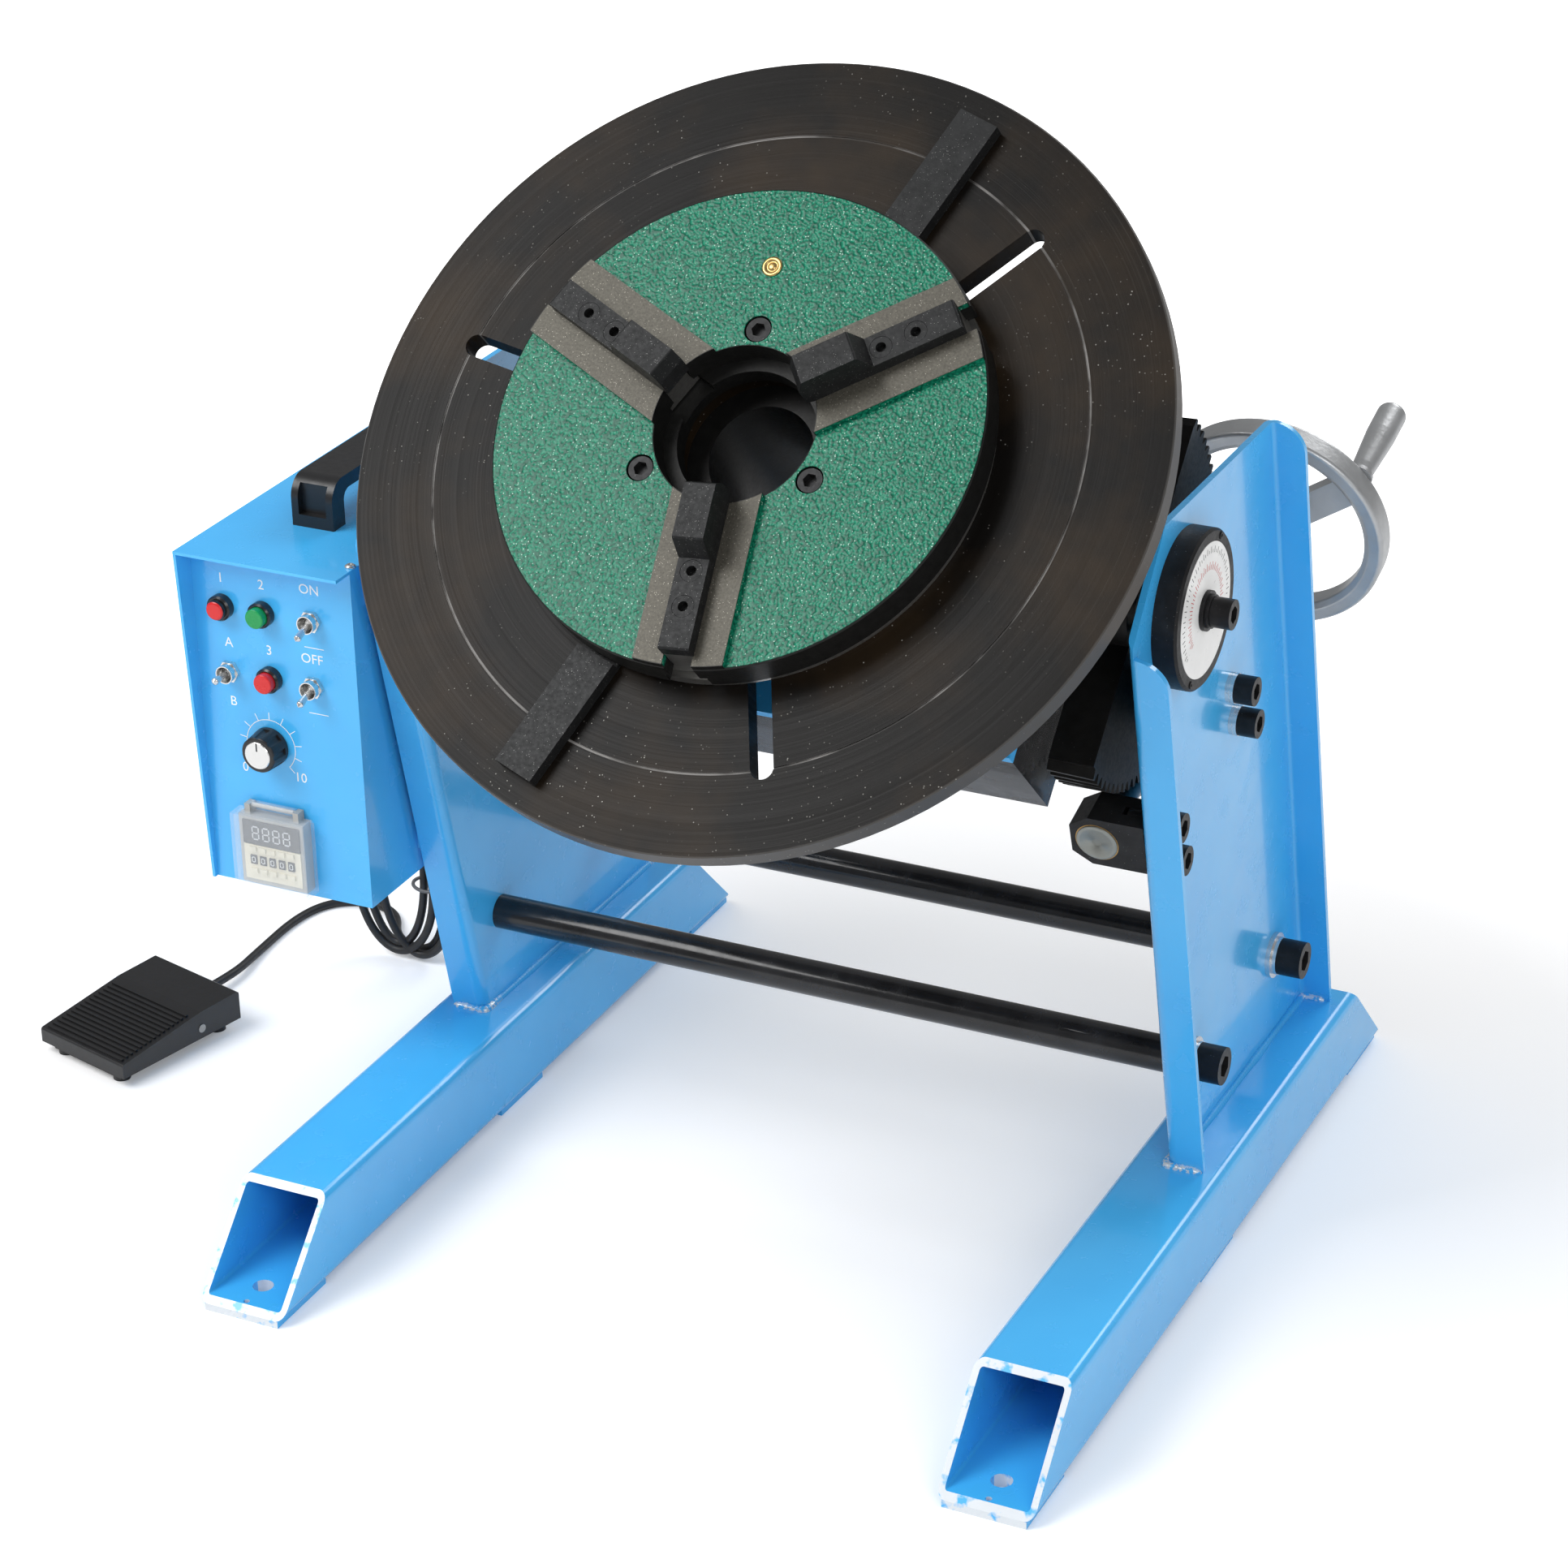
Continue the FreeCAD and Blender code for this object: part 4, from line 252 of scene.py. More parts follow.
# ---------------------------------------------------------------------------------------------
# Black gloss paint: tie bars, gearbox case and rear cover, gear motor.
# ---------------------------------------------------------------------------------------------
black_paint, tree, shader, place = new_material("black_gloss_paint")
tree.links.new(mixed(tree, span(tree, noise(tree, place, 25.0), 0.4, 0.7), (0.010, 0.010, 0.011),
                     (0.026, 0.026, 0.028)), shader.inputs["Base Color"])
tree.links.new(span(tree, noise(tree, place, 90.0), 0.3, 0.7, 0.14, 0.30),
               shader.inputs["Roughness"])
shader.inputs["Coat Weight"].default_value = 0.2
bump(tree, shader, noise(tree, place, 300.0, 2.0), 0.0001, 0.3)
shader.inputs["Specular IOR Level"].default_value = 0.4
dress(black_paint, "tie_bars", "gearbox_case", "gearbox_rear_cover", "gear_motor")

# ---------------------------------------------------------------------------------------------
# Turntable: 500 mm turned steel disc, oiled nearly black.  The tool left fine rings, and it
# carries brown oil stains, bright scratches round the rings and specks of grinding dust.
# ---------------------------------------------------------------------------------------------
tilt_joint = next(j for j in frame["joints"] if j["name"] == "tilt")
spin_joint = next(j for j in frame["joints"] if j["name"] == "table_spin")
TABLE_AXIS = Vector(spin_joint["axis"]).normalized()
TABLE_CENTRE = Vector(spin_joint["pos_m"])
# Radii in metres where a finish starts and where it is full.
TABLE_EDGE = (0.2488, 0.2494)
GROOVE_INSIDE, GROOVE_OUTSIDE = (0.1997, 0.1999), (0.2013, 0.2011)
table_x = Vector((1, 0, 0))
table_y = TABLE_AXIS.cross(table_x)


def table_place(tree, place):
    """Position in the table's own frame: x, y, height and radius, as separate outputs."""
    local = wire(tree, "VectorMath", "Vector", {"operation": "SUBTRACT"}, i0=place,
                 i1=tuple(TABLE_CENTRE))
    parts = [wire(tree, "VectorMath", "Value", {"operation": "DOT_PRODUCT"}, i0=local,
                  i1=tuple(axis)) for axis in (table_x, table_y, TABLE_AXIS)]
    flat = wire(tree, "CombineXYZ", "Vector", X=parts[0], Y=parts[1])
    radius = wire(tree, "VectorMath", "Value", {"operation": "LENGTH"}, i0=flat)
    return (*parts, radius)


def turning_rings(tree, radius, x, y, rings_per_metre, drift):
    """Grey rings round the axis: noise looked up by radius with a slow change round the disc."""
    line = wire(tree, "CombineXYZ", "Vector", X=math_node(tree, "MULTIPLY", radius,
                                                         rings_per_metre),
                Y=math_node(tree, "MULTIPLY", x, drift), Z=math_node(tree, "MULTIPLY", y, drift))
    return noise(tree, line, 1.0, 4.0, 0.7)


def specks(tree, place, scale, size, share):
    """Small bright grains: cells of a Voronoi pattern, kept where their own random value is
    high, and only near the middle of the cell."""
    cell = tree.nodes.new("ShaderNodeTexVoronoi")
    cell.inputs["Scale"].default_value = scale
    tree.links.new(place, cell.inputs["Vector"])
    near = span(tree, cell.outputs["Distance"], size, size * 0.5)
    chosen = span(tree, wire(tree, "SeparateColor", "Red", Color=cell.outputs["Color"]),
                  1 - share, 1 - share + 0.02)
    return math_node(tree, "MULTIPLY", near, chosen)


table_steel, tree, shader, place = new_material("oiled_turned_steel")
x, y, _, radius = table_place(tree, place)
rings = turning_rings(tree, radius, x, y, 900.0, 3.0)
stain = noise(tree, place, 9.0, 4.0, 0.6)
ground = mixed(tree, span(tree, stain, 0.42, 0.68), (0.0050, 0.0043, 0.0038),
               (0.024, 0.0150, 0.0075))
worn = math_node(tree, "MULTIPLY", span(tree, rings, 0.58, 0.76),
                 span(tree, noise(tree, place, 14.0, 3.0), 0.50, 0.66))
ground = mixed(tree, math_node(tree, "MULTIPLY", worn, 0.45), ground, (0.075, 0.070, 0.062))
dust = math_node(tree, "MULTIPLY", specks(tree, place, 600.0, 0.30, 0.07),
                 span(tree, noise(tree, place, 11.0, 2.0), 0.45, 0.70))
ground = mixed(tree, dust, ground, (0.40, 0.39, 0.36))
# The outer edge band and rim are painted a little lighter: bare turned steel and a painted
# highlight along the table's edge.  The groove ring is painted lighter as well.
rim_bare_and_highlight = span(tree, radius, *TABLE_EDGE)
groove = math_node(tree, "MULTIPLY", span(tree, radius, *GROOVE_INSIDE),
                   span(tree, radius, *GROOVE_OUTSIDE))
groove = math_node(tree, "MULTIPLY", groove, span(tree, noise(tree, place, 25.0), 0.42, 0.60,
                                                  0.10, 0.75))
ground = mixed(tree, math_node(tree, "MAXIMUM", math_node(tree, "MULTIPLY", rim_bare_and_highlight, 0.22),
                               groove), ground, (0.30, 0.29, 0.28))
tree.links.new(ground, shader.inputs["Base Color"])
shader.inputs["Specular IOR Level"].default_value = 0.12
tree.links.new(span(tree, rings, 0.3, 0.8, 0.30, 0.48), shader.inputs["Roughness"])
bump(tree, shader, math_node(tree, "ADD", rings, math_node(tree, "MULTIPLY", dust, 2.0)), 0.00012,
     0.5)
dress(table_steel, "table")

# ---------------------------------------------------------------------------------------------
# Blackened steel: lever bars of the scroll, top jaws, screws, worm brackets, pivot flanges and tilt
# sector.  Ground or forged faces under black oxide, with bright grains.  The spindle takes the
# darkest of them, near black, as painted shade deep in the chuck bore.
# ---------------------------------------------------------------------------------------------
def black_oxide(name, grain_share, tone, rough_low, rough_high):
    """Black oxide with a share of bright grains."""
    made, tree, shader, place = new_material(name)
    ground = mixed(tree, noise(tree, place, 120.0, 4.0), tuple(0.5 * c for c in tone),
                   tuple(1.6 * c for c in tone))
    grains = specks(tree, place, 1500.0, 0.30, grain_share)
    tree.links.new(mixed(tree, grains, ground, (0.30, 0.30, 0.29)), shader.inputs["Base Color"])
    shader.inputs["Metallic"].default_value = 0.3
    shader.inputs["Specular IOR Level"].default_value = 0.18
    tree.links.new(span(tree, noise(tree, place, 400.0), 0.3, 0.7, rough_low, rough_high),
                   shader.inputs["Roughness"])
    bump(tree, shader, noise(tree, place, 900.0, 2.0), 0.00008, 0.5)
    return made


bar_steel = black_oxide("blackened_bar", 0.09, (0.017, 0.0175, 0.018), 0.36, 0.52)
# Darkest tone: blackened steel on the tilt sector, and painted shade on the spindle in the chuck
# bore.
blackened_steel_and_shade = black_oxide("darkest_steel_and_bore_shade", 0.01, (0.010, 0.0098, 0.0095), 0.30, 0.42)
screw_steel = black_oxide("blackened_screw", 0.02, (0.018, 0.018, 0.019), 0.30, 0.45)
bracket_steel = black_oxide("blackened_bracket", 0.03, (0.020, 0.020, 0.021), 0.38, 0.50)
dress(bar_steel, "scroll_bars", "top_jaw_1", "top_jaw_2", "top_jaw_3")
dress(screw_steel, "tie_screws", "bracket_screws", "chuck_screws", "pivot_end_screws")
dress(bracket_steel, "worm_bracket_front", "worm_bracket_rear", "pivot_flanges")
# The spindle is painted near black here: painted shade in the chuck bore.
dress(blackened_steel_and_shade, "spindle", "tilt_sector")

# ---------------------------------------------------------------------------------------------
# Bright steel, ground and oiled: spindle gear, pinion, worm shaft, scroll ring, master jaws,
# spindle bearings, pivot shafts and pedal pin.
# ---------------------------------------------------------------------------------------------
bright_steel, tree, shader, place = new_material("ground_steel")
streak = wire(tree, "Mapping", "Vector", Vector=place, Scale=(1, 12, 12))
tree.links.new(mixed(tree, noise(tree, streak, 40.0, 4.0), (0.22, 0.215, 0.205),
                     (0.42, 0.415, 0.40)), shader.inputs["Base Color"])
shader.inputs["Metallic"].default_value = 0.85
tree.links.new(span(tree, noise(tree, streak, 90.0), 0.3, 0.7, 0.28, 0.42),
               shader.inputs["Roughness"])
bump(tree, shader, noise(tree, streak, 160.0), 0.00005, 0.4)
dress(bright_steel, "spindle_gear", "drive_pinion", "worm_shaft",
      "scroll_ring", "master_jaw_1", "master_jaw_2", "master_jaw_3", "spindle_bearings",
      "pivot_shafts", "pedal_pin")

# ---------------------------------------------------------------------------------------------
# Bright zinc: washers under the screws and levers of the toggle switches.  Bronze: plain bushes.
# ---------------------------------------------------------------------------------------------
zinc, tree, shader, place = new_material("bright_zinc")
tree.links.new(mixed(tree, noise(tree, place, 300.0), (0.64, 0.64, 0.64), (0.84, 0.84, 0.83)),
               shader.inputs["Base Color"])
shader.inputs["Metallic"].default_value = 0.8
tree.links.new(span(tree, noise(tree, place, 500.0), 0.3, 0.7, 0.16, 0.28),
               shader.inputs["Roughness"])
dress(zinc, "frame_washers", "power_toggle", "mode_toggle", "direction_toggle")

bronze, tree, shader, place = new_material("sintered_bronze")
tree.links.new(mixed(tree, noise(tree, place, 600.0), (0.34, 0.20, 0.07), (0.55, 0.36, 0.15)),
               shader.inputs["Base Color"])
shader.inputs["Metallic"].default_value = 0.9
shader.inputs["Roughness"].default_value = 0.38
bump(tree, shader, noise(tree, place, 1500.0), 0.00004, 0.4)
dress(bronze, "bronze_bushes")

# ---------------------------------------------------------------------------------------------
# Chuck: cast body with green hammer-finish enamel, three bare ground lands beside the jaws, a
# bare turned rim and bore, with painted shade: rim, side and bore wall are painted near black.
# Heights and radii in metres where a finish starts and where it is full.
# ---------------------------------------------------------------------------------------------
LAND_HEIGHT, BELOW_FACE = (0.1279, 0.1281), (0.1238, 0.1234)
BORE_WALL, CHUCK_RIM = (0.0506, 0.0502), (0.1488, 0.1492)
chuck_finish, tree, shader, place = new_material("hammer_green_and_bare_iron")
_, _, height, radius = table_place(tree, place)
dimple = tree.nodes.new("ShaderNodeTexVoronoi")
dimple.inputs["Scale"].default_value = 620.0
dimple.feature = "SMOOTH_F1"
tree.links.new(wire(tree, "VectorMath", "Vector", {"operation": "ADD"}, i0=place,
                    i1=wire(tree, "VectorMath", "Vector", {"operation": "SCALE"},
                            i0=wire(tree, "TexNoise", "Color", Vector=place, Scale=300.0),
                            Scale=0.0016)), dimple.inputs["Vector"])
hammer = dimple.outputs["Distance"]
green = mixed(tree, span(tree, hammer, 0.10, 0.60), (0.012, 0.250, 0.145), (0.001, 0.082, 0.047))
green = mixed(tree, specks(tree, place, 700.0, 0.34, 0.16), green, (0.42, 0.66, 0.54))
land = span(tree, height, *LAND_HEIGHT)
inner_wall = span(tree, radius, *BORE_WALL)
rim = span(tree, radius, *CHUCK_RIM)
below = span(tree, height, *BELOW_FACE)
iron = mixed(tree, noise(tree, place, 700.0, 4.0, 0.7), (0.016, 0.015, 0.012),
             (0.150, 0.140, 0.115))
iron = mixed(tree, specks(tree, place, 1100.0, 0.34, 0.14), iron, (0.36, 0.34, 0.29))
# Rim, side below the face and bore wall are painted near black: painted shade over the bare iron.
shaded_iron_colour = mixed(tree, noise(tree, place, 200.0), (0.006, 0.006, 0.006), (0.022, 0.022, 0.021))
colour = mixed(tree, land, green, iron)
shaded_iron_mask = math_node(tree, "MAXIMUM", math_node(tree, "MAXIMUM", rim, below), inner_wall)
colour = mixed(tree, shaded_iron_mask, colour, shaded_iron_colour)
bare = math_node(tree, "MAXIMUM", land, shaded_iron_mask)
tree.links.new(colour, shader.inputs["Base Color"])
tree.links.new(math_node(tree, "MULTIPLY", bare, 0.30), shader.inputs["Metallic"])
shader.inputs["Specular IOR Level"].default_value = 0.22
tree.links.new(span(tree, bare, 0.0, 1.0, 0.24, 0.42), shader.inputs["Roughness"])
bump(tree, shader, math_node(tree, "MULTIPLY", hammer, span(tree, bare, 0.0, 1.0, 1.0, 0.15)),
     0.0005, 0.8)
dress(chuck_finish, "chuck_body")

# ---------------------------------------------------------------------------------------------
# Plastics and castings: black nylon box handle, knob, pedal and gland, coloured push buttons and
# lamp, grey timer case with a clear cover, sand-cast handwheel and grip, and the white dial disc.
# ---------------------------------------------------------------------------------------------
def plain(name, tone, roughness, grain=0.0, metallic=0.0, grain_scale=900.0):
    """Even finish with a slight change of tone and an optional moulded grain."""
    made, tree, shader, place = new_material(name)
    tree.links.new(mixed(tree, noise(tree, place, 60.0), tuple(0.85 * c for c in tone),
                         tuple(min(1.0, 1.12 * c) for c in tone)), shader.inputs["Base Color"])
    tree.links.new(span(tree, noise(tree, place, 200.0), 0.3, 0.7, roughness * 0.85,
                        roughness * 1.15), shader.inputs["Roughness"])
    shader.inputs["Metallic"].default_value = metallic
    if grain:
        bump(tree, shader, noise(tree, place, grain_scale, 2.0), grain, 0.6)
    return made


black_plastic = plain("black_nylon", (0.014, 0.014, 0.015), 0.36, 0.00006)
rubber = plain("black_rubber", (0.017, 0.017, 0.018), 0.52, 0.00008)
green_button = plain("green_button", (0.004, 0.30, 0.075), 0.28)
red_button = plain("red_button", (0.62, 0.016, 0.018), 0.28)
timer_grey = plain("timer_case_grey", (0.42, 0.42, 0.40), 0.45, 0.00004)
cast_alloy = plain("cast_alloy", (0.50, 0.51, 0.52), 0.40, 0.00025, 0.75, 350.0)
dial_white = plain("dial_white", (0.86, 0.86, 0.85), 0.32)
clear_plastic, tree, shader, place = new_material("clear_plastic")
shader.inputs["Base Color"].default_value = (0.90, 0.95, 1.0, 1)
shader.inputs["Alpha"].default_value = 0.16
tree.links.new(span(tree, noise(tree, place, 80.0), 0.3, 0.7, 0.04, 0.10),
               shader.inputs["Roughness"])


def near_buttons(tree, place, reach_m, centres):
    """1 within a reach of any of the given x, z centres on the front of the box, otherwise 0."""
    flat = wire(tree, "VectorMath", "Vector", {"operation": "MULTIPLY"}, i0=place, i1=(1, 0, 1))
    share = 0.0
    for centre_x, centre_z in centres:
        apart = wire(tree, "VectorMath", "Value", {"operation": "DISTANCE"}, i0=flat,
                     i1=(centre_x, 0, centre_z))
        share = math_node(tree, "MAXIMUM", share, span(tree, apart, reach_m + 0.0002, reach_m))
    return share


# The black bezels of lamp and buttons are painted by place: centres as x, z on the front.
LAMP, RESET, LOCK = (-0.363, 0.369), (-0.3334, 0.369), (-0.331, 0.325)
BEZEL_REACH, LENS_REACH = 0.0115, 0.0060
fittings, tree, shader, place = new_material("panel_fittings")
bezel = near_buttons(tree, place, BEZEL_REACH, (LAMP, RESET, LOCK))
tree.links.new(mixed(tree, bezel, (0.72, 0.72, 0.71), (0.014, 0.014, 0.015)),
               shader.inputs["Base Color"])
tree.links.new(span(tree, bezel, 0.0, 1.0, 0.95, 0.0), shader.inputs["Metallic"])
tree.links.new(span(tree, noise(tree, place, 400.0), 0.3, 0.7, 0.18, 0.30),
               shader.inputs["Roughness"])
dress(fittings, "panel_fittings")
lamp_red, tree, shader, place = new_material("lamp_lens_and_bezel")
lens = near_buttons(tree, place, LENS_REACH, (LAMP,))
tree.links.new(mixed(tree, lens, (0.014, 0.014, 0.015), mixed(
    tree, noise(tree, place, 60.0), (0.50, 0.012, 0.014), (0.72, 0.020, 0.022))),
    shader.inputs["Base Color"])
shader.inputs["Roughness"].default_value = 0.25
dress(lamp_red, "pilot_lamp")
dress(black_plastic, "carry_handle", "speed_knob", "pedal_base", "pedal_treadle",
      "cord_gland")
dress(green_button, "reset_button")
dress(red_button, "lock_button")
dress(timer_grey, "timer_body")
dress(cast_alloy, "handwheel", "handwheel_grip")
dress(dial_white, "dial_plate")
dress(clear_plastic, "timer_cover")


# ---------------------------------------------------------------------------------------------
# Weld beads: rippled MAG welds join each side plate to its foot, outside round the front flange
# and web and inside the channel.  Paint is burnt or chipped off in bright spots.
# ---------------------------------------------------------------------------------------------
def piece(name, vertices, faces, material, body, smooth=True):
    """Closed mesh with outward faces, riding on a body."""
    mesh = bpy.data.meshes.new(name)
    mesh.from_pydata(np.asarray(vertices).tolist(), [], faces)
    built = bmesh.new()
    built.from_mesh(mesh)
    bmesh.ops.recalc_face_normals(built, faces=built.faces)
    built.to_mesh(mesh)
    built.free()
    mesh.polygons.foreach_set("use_smooth", [smooth] * len(mesh.polygons))
    mesh.materials.append(material)
    made = bpy.data.objects.new(name, mesh)
    scene.collection.objects.link(made)
    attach(made, body)
    return made


def grid_faces(rows, columns):
    """Quads of a grid that closes round its columns, with a flat face at each end."""
    row, column = np.meshgrid(np.arange(rows - 1), np.arange(columns), indexing="ij")
    after = (column + 1) % columns
    quads = np.stack((row * columns + column, row * columns + after,
                      (row + 1) * columns + after, (row + 1) * columns + column), axis=-1)
    ends = [list(range(columns - 1, -1, -1)),
            [(rows - 1) * columns + k for k in range(columns)]]
    return quads.reshape(-1, 4).tolist() + ends


def swept(path, radii, columns=12):
    """Tube: point = path + r (side cos a + lift sin a), side level and square to the path, lift
    square to both, with the radius r given all along."""
    path = np.asarray(path, dtype=float)
    along = np.gradient(path, axis=0)
    along /= np.linalg.norm(along, axis=1)[:, None]
    guide = np.where(np.abs(along[:, 2:3]) > 0.9, (0.0, 1.0, 0.0), (0.0, 0.0, 1.0))
    side = np.cross(along, guide)
    side /= np.linalg.norm(side, axis=1)[:, None]
    lift = np.cross(side, along)
    angle = np.linspace(0, 2 * math.pi, columns, endpoint=False)[None, :, None]
    tube = path[:, None] + np.asarray(radii)[:, None, None] * (
        side[:, None] * np.cos(angle) + lift[:, None] * np.sin(angle))
    return tube.reshape(-1, 3), grid_faces(len(path), columns)


def along_corners(corners, step):
    """Even points along straight runs between corners, rounded by a short running mean."""
    corners = np.asarray(corners, dtype=float)
    lengths = np.concatenate(([0], np.cumsum(np.linalg.norm(np.diff(corners, axis=0), axis=1))))
    at = np.arange(0, lengths[-1], step)
    points = np.column_stack([np.interp(at, lengths, corners[:, axis]) for axis in range(3)])
    padded_points = np.pad(points, ((4, 4), (0, 0)), mode="edge")
    return np.stack([padded_points[k:k + len(points)] for k in range(9)]).mean(axis=0)


weld_paint, tree, shader, place = new_material("chipped_weld")
bead_y = wire(tree, "SeparateXYZ", "Y", Vector=place)
at_flange = math_node(tree, "MAXIMUM", span(tree, bead_y, 0.012, 0.002),
                      span(tree, bead_y, 0.220, 0.228))
chip = math_node(tree, "MULTIPLY", span(tree, noise(tree, place, 380.0, 3.0), 0.46, 0.54),
                 at_flange)
tree.links.new(mixed(tree, chip, PAINT_BLUE, (0.74, 0.80, 0.85)), shader.inputs["Base Color"])
tree.links.new(math_node(tree, "MULTIPLY", chip, 0.4), shader.inputs["Metallic"])
shader.inputs["Roughness"].default_value = 0.32
bump(tree, shader, noise(tree, place, 500.0), 0.0003, 0.6)
FOOT_TOP, BEAD_RADIUS, BEAD_STEP = 0.0652, 0.0026, 0.0007
for side_name, side in (("right", 1), ("left", -1)):
    for bead_name, corners in (
            ("outside", [(0.264, -0.009), (0.2395, -0.009), (0.2393, 0.2335)]),
            ("inside", [(0.262, -0.0035), (0.2447, -0.0035), (0.2447, 0.2285),
                        (0.262, 0.2285)])):
        bead = along_corners([(side * x_at, y_at, FOOT_TOP) for x_at, y_at in corners],
                             BEAD_STEP)
        count = np.arange(len(bead))
        ripple = (BEAD_RADIUS + 0.00035 * np.abs(np.sin(count * 0.75))
                  + 0.0004 * np.sin(count * 0.061))
        ripple *= np.minimum(1, np.minimum(count + 2, len(bead) - count + 1) / 8)
        vertices, faces = swept(bead, ripple)
        piece("weld_bead_%s_%s" % (side_name, bead_name), vertices, faces, weld_paint,
                      "frame")

# ---------------------------------------------------------------------------------------------
# Small screws: flush plugs with a small hole fill the counterbores of the top jaws, two screws sit
# in each pivot flange and a pan-head screw holds the hood of the control box.
# ---------------------------------------------------------------------------------------------
def revolved(profile, place, across, columns=36, hexagon=0):
    """Solid of revolution: point = place + r (x cos a + y sin a) + h axis for each (r, h) of the
    profile; the last `hexagon` profile rings are bent to a hexagon of that inner width."""
    profile = np.asarray(profile, dtype=float)
    axis = np.asarray(Vector(across).normalized())
    x_axis = np.cross(axis, (0.0, 0.0, 1.0) if abs(axis[2]) < 0.9 else (0.0, 1.0, 0.0))
    x_axis /= np.linalg.norm(x_axis)
    y_axis = np.cross(axis, x_axis)
    angle = np.linspace(0, 2 * math.pi, columns, endpoint=False)
    radii = np.repeat(profile[:, :1], columns, axis=1)
    if hexagon:
        bend = 1 / np.cos((angle + math.pi / 6) % (math.pi / 3) - math.pi / 6)
        radii[-hexagon:] *= bend
    points = (np.asarray(place) + radii[..., None] * (x_axis * np.cos(angle)[:, None]
                                                      + y_axis * np.sin(angle)[:, None])
              + profile[:, 1][:, None, None] * axis)
    return points.reshape(-1, 3), grid_faces(len(profile), columns)


def table_point(radius_m, angle_degrees, height_m):
    """Point on the turntable, in world metres."""
    turn_by = math.radians(angle_degrees)
    return (TABLE_CENTRE + radius_m * (math.cos(turn_by) * table_x + math.sin(turn_by) * table_y)
            + height_m * TABLE_AXIS)


PLUG = [(0.0066, 0), (0.0067, 0.0002), (0.0067, 0.0061), (0.0066, 0.0062), (0.0031, 0.0062),
        (0.0031, 0.0010)]
PLUG_SEAT, FIRST_JAW_DEGREES = 0.1312, 35
for number in (1, 2, 3):
    for screw_name, reach in (("near", 0.0955), ("far", 0.117)):
        seat = table_point(reach, FIRST_JAW_DEGREES + 120 * (number - 1), PLUG_SEAT)
        vertices, faces = revolved(PLUG, seat, TABLE_AXIS)
        piece("jaw_%d_screw_%s" % (number, screw_name), vertices, faces, bar_steel,
                      "jaw_%d" % number, smooth=False)
RING_HEAD = [(0.0018, 0), (0.0024, 0), (0.0024, 0.0006), (0.0018, 0.0009), (0.0010, 0.0009),
             (0.0010, 0.0004)]
RING_SCREW_REACH, RING_SCREW_SUNK = 0.0437, 0.0002
PIVOT_Y, PIVOT_Z = tilt_joint["pos_m"][1:]
flange_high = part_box("pivot_flanges")[1]
for side in (1, -1):
    for spot in (60, 240):
        turn_by = math.radians(spot)
        head_place = (side * flange_high[0] - side * RING_SCREW_SUNK,
                      PIVOT_Y + RING_SCREW_REACH * math.cos(turn_by),
                      PIVOT_Z + RING_SCREW_REACH * math.sin(turn_by))
        vertices, faces = revolved(RING_HEAD, head_place, (side, 0, 0), hexagon=2)
        piece("ring_screw_%d_%d" % (side, spot), vertices, faces, screw_steel, "frame",
                      smooth=False)
HOOD_SCREW_PLACE = (-0.2712, -0.0865, 0.4079)
vertices, faces = revolved([(0.0026, 0), (0.0036, 0), (0.0034, 0.0012), (0.0020, 0.0021),
                            (0.0009, 0.0022), (0.0009, 0.0012)],
                           HOOD_SCREW_PLACE, (0, 0, 1), hexagon=2)
piece("hood_screw", vertices, faces, zinc, "frame")

# ---------------------------------------------------------------------------------------------
# Worm end cap: a grey pressed steel disc with a centre hole closes the bush in the front bracket.
# ---------------------------------------------------------------------------------------------
worm_joint = next(j for j in frame["joints"] if j["name"] == "worm_spin")
WORM_ORIGIN, WORM_AXIS = Vector(worm_joint["pos_m"]), Vector(worm_joint["axis"]).normalized()
CAP_BEHIND_WORM = 0.0780
cap_steel = plain("cap_steel", (0.26, 0.27, 0.25), 0.42, 0.0002, 0.5, 500.0)
vertices, faces = revolved([(0.0128, 0), (0.0128, 0.0006), (0.0122, 0.0010), (0.0102, 0.0010),
                            (0.0098, 0.0006), (0.0030, 0.0006), (0.0024, -0.0030)],
                           WORM_ORIGIN - CAP_BEHIND_WORM * WORM_AXIS, -WORM_AXIS)
piece("worm_end_cap", vertices, faces, cap_steel, "frame")

# ---------------------------------------------------------------------------------------------
# Oil nipple: a brass ball nipple pressed into the chuck face, for oiling the scroll.
# ---------------------------------------------------------------------------------------------
brass, tree, shader, place = new_material("brass")
tree.links.new(mixed(tree, noise(tree, place, 900.0), (0.42, 0.27, 0.09), (0.72, 0.52, 0.22)),
               shader.inputs["Base Color"])
shader.inputs["Metallic"].default_value = 0.9
shader.inputs["Roughness"].default_value = 0.3
NIPPLE_REACH, NIPPLE_DEGREES, CHUCK_FACE = 0.100, 95, 0.1244
vertices, faces = revolved([(0.0055, 0), (0.0062, 0.0002), (0.0062, 0.0008), (0.0054, 0.0011),
                            (0.0040, 0.0011), (0.0036, 0.0004), (0.0026, 0.0004),
                            (0.0022, 0.0010), (0.0010, 0.0013)],
                           table_point(NIPPLE_REACH, NIPPLE_DEGREES, CHUCK_FACE), TABLE_AXIS)
piece("oil_nipple", vertices, faces, brass, "turntable")

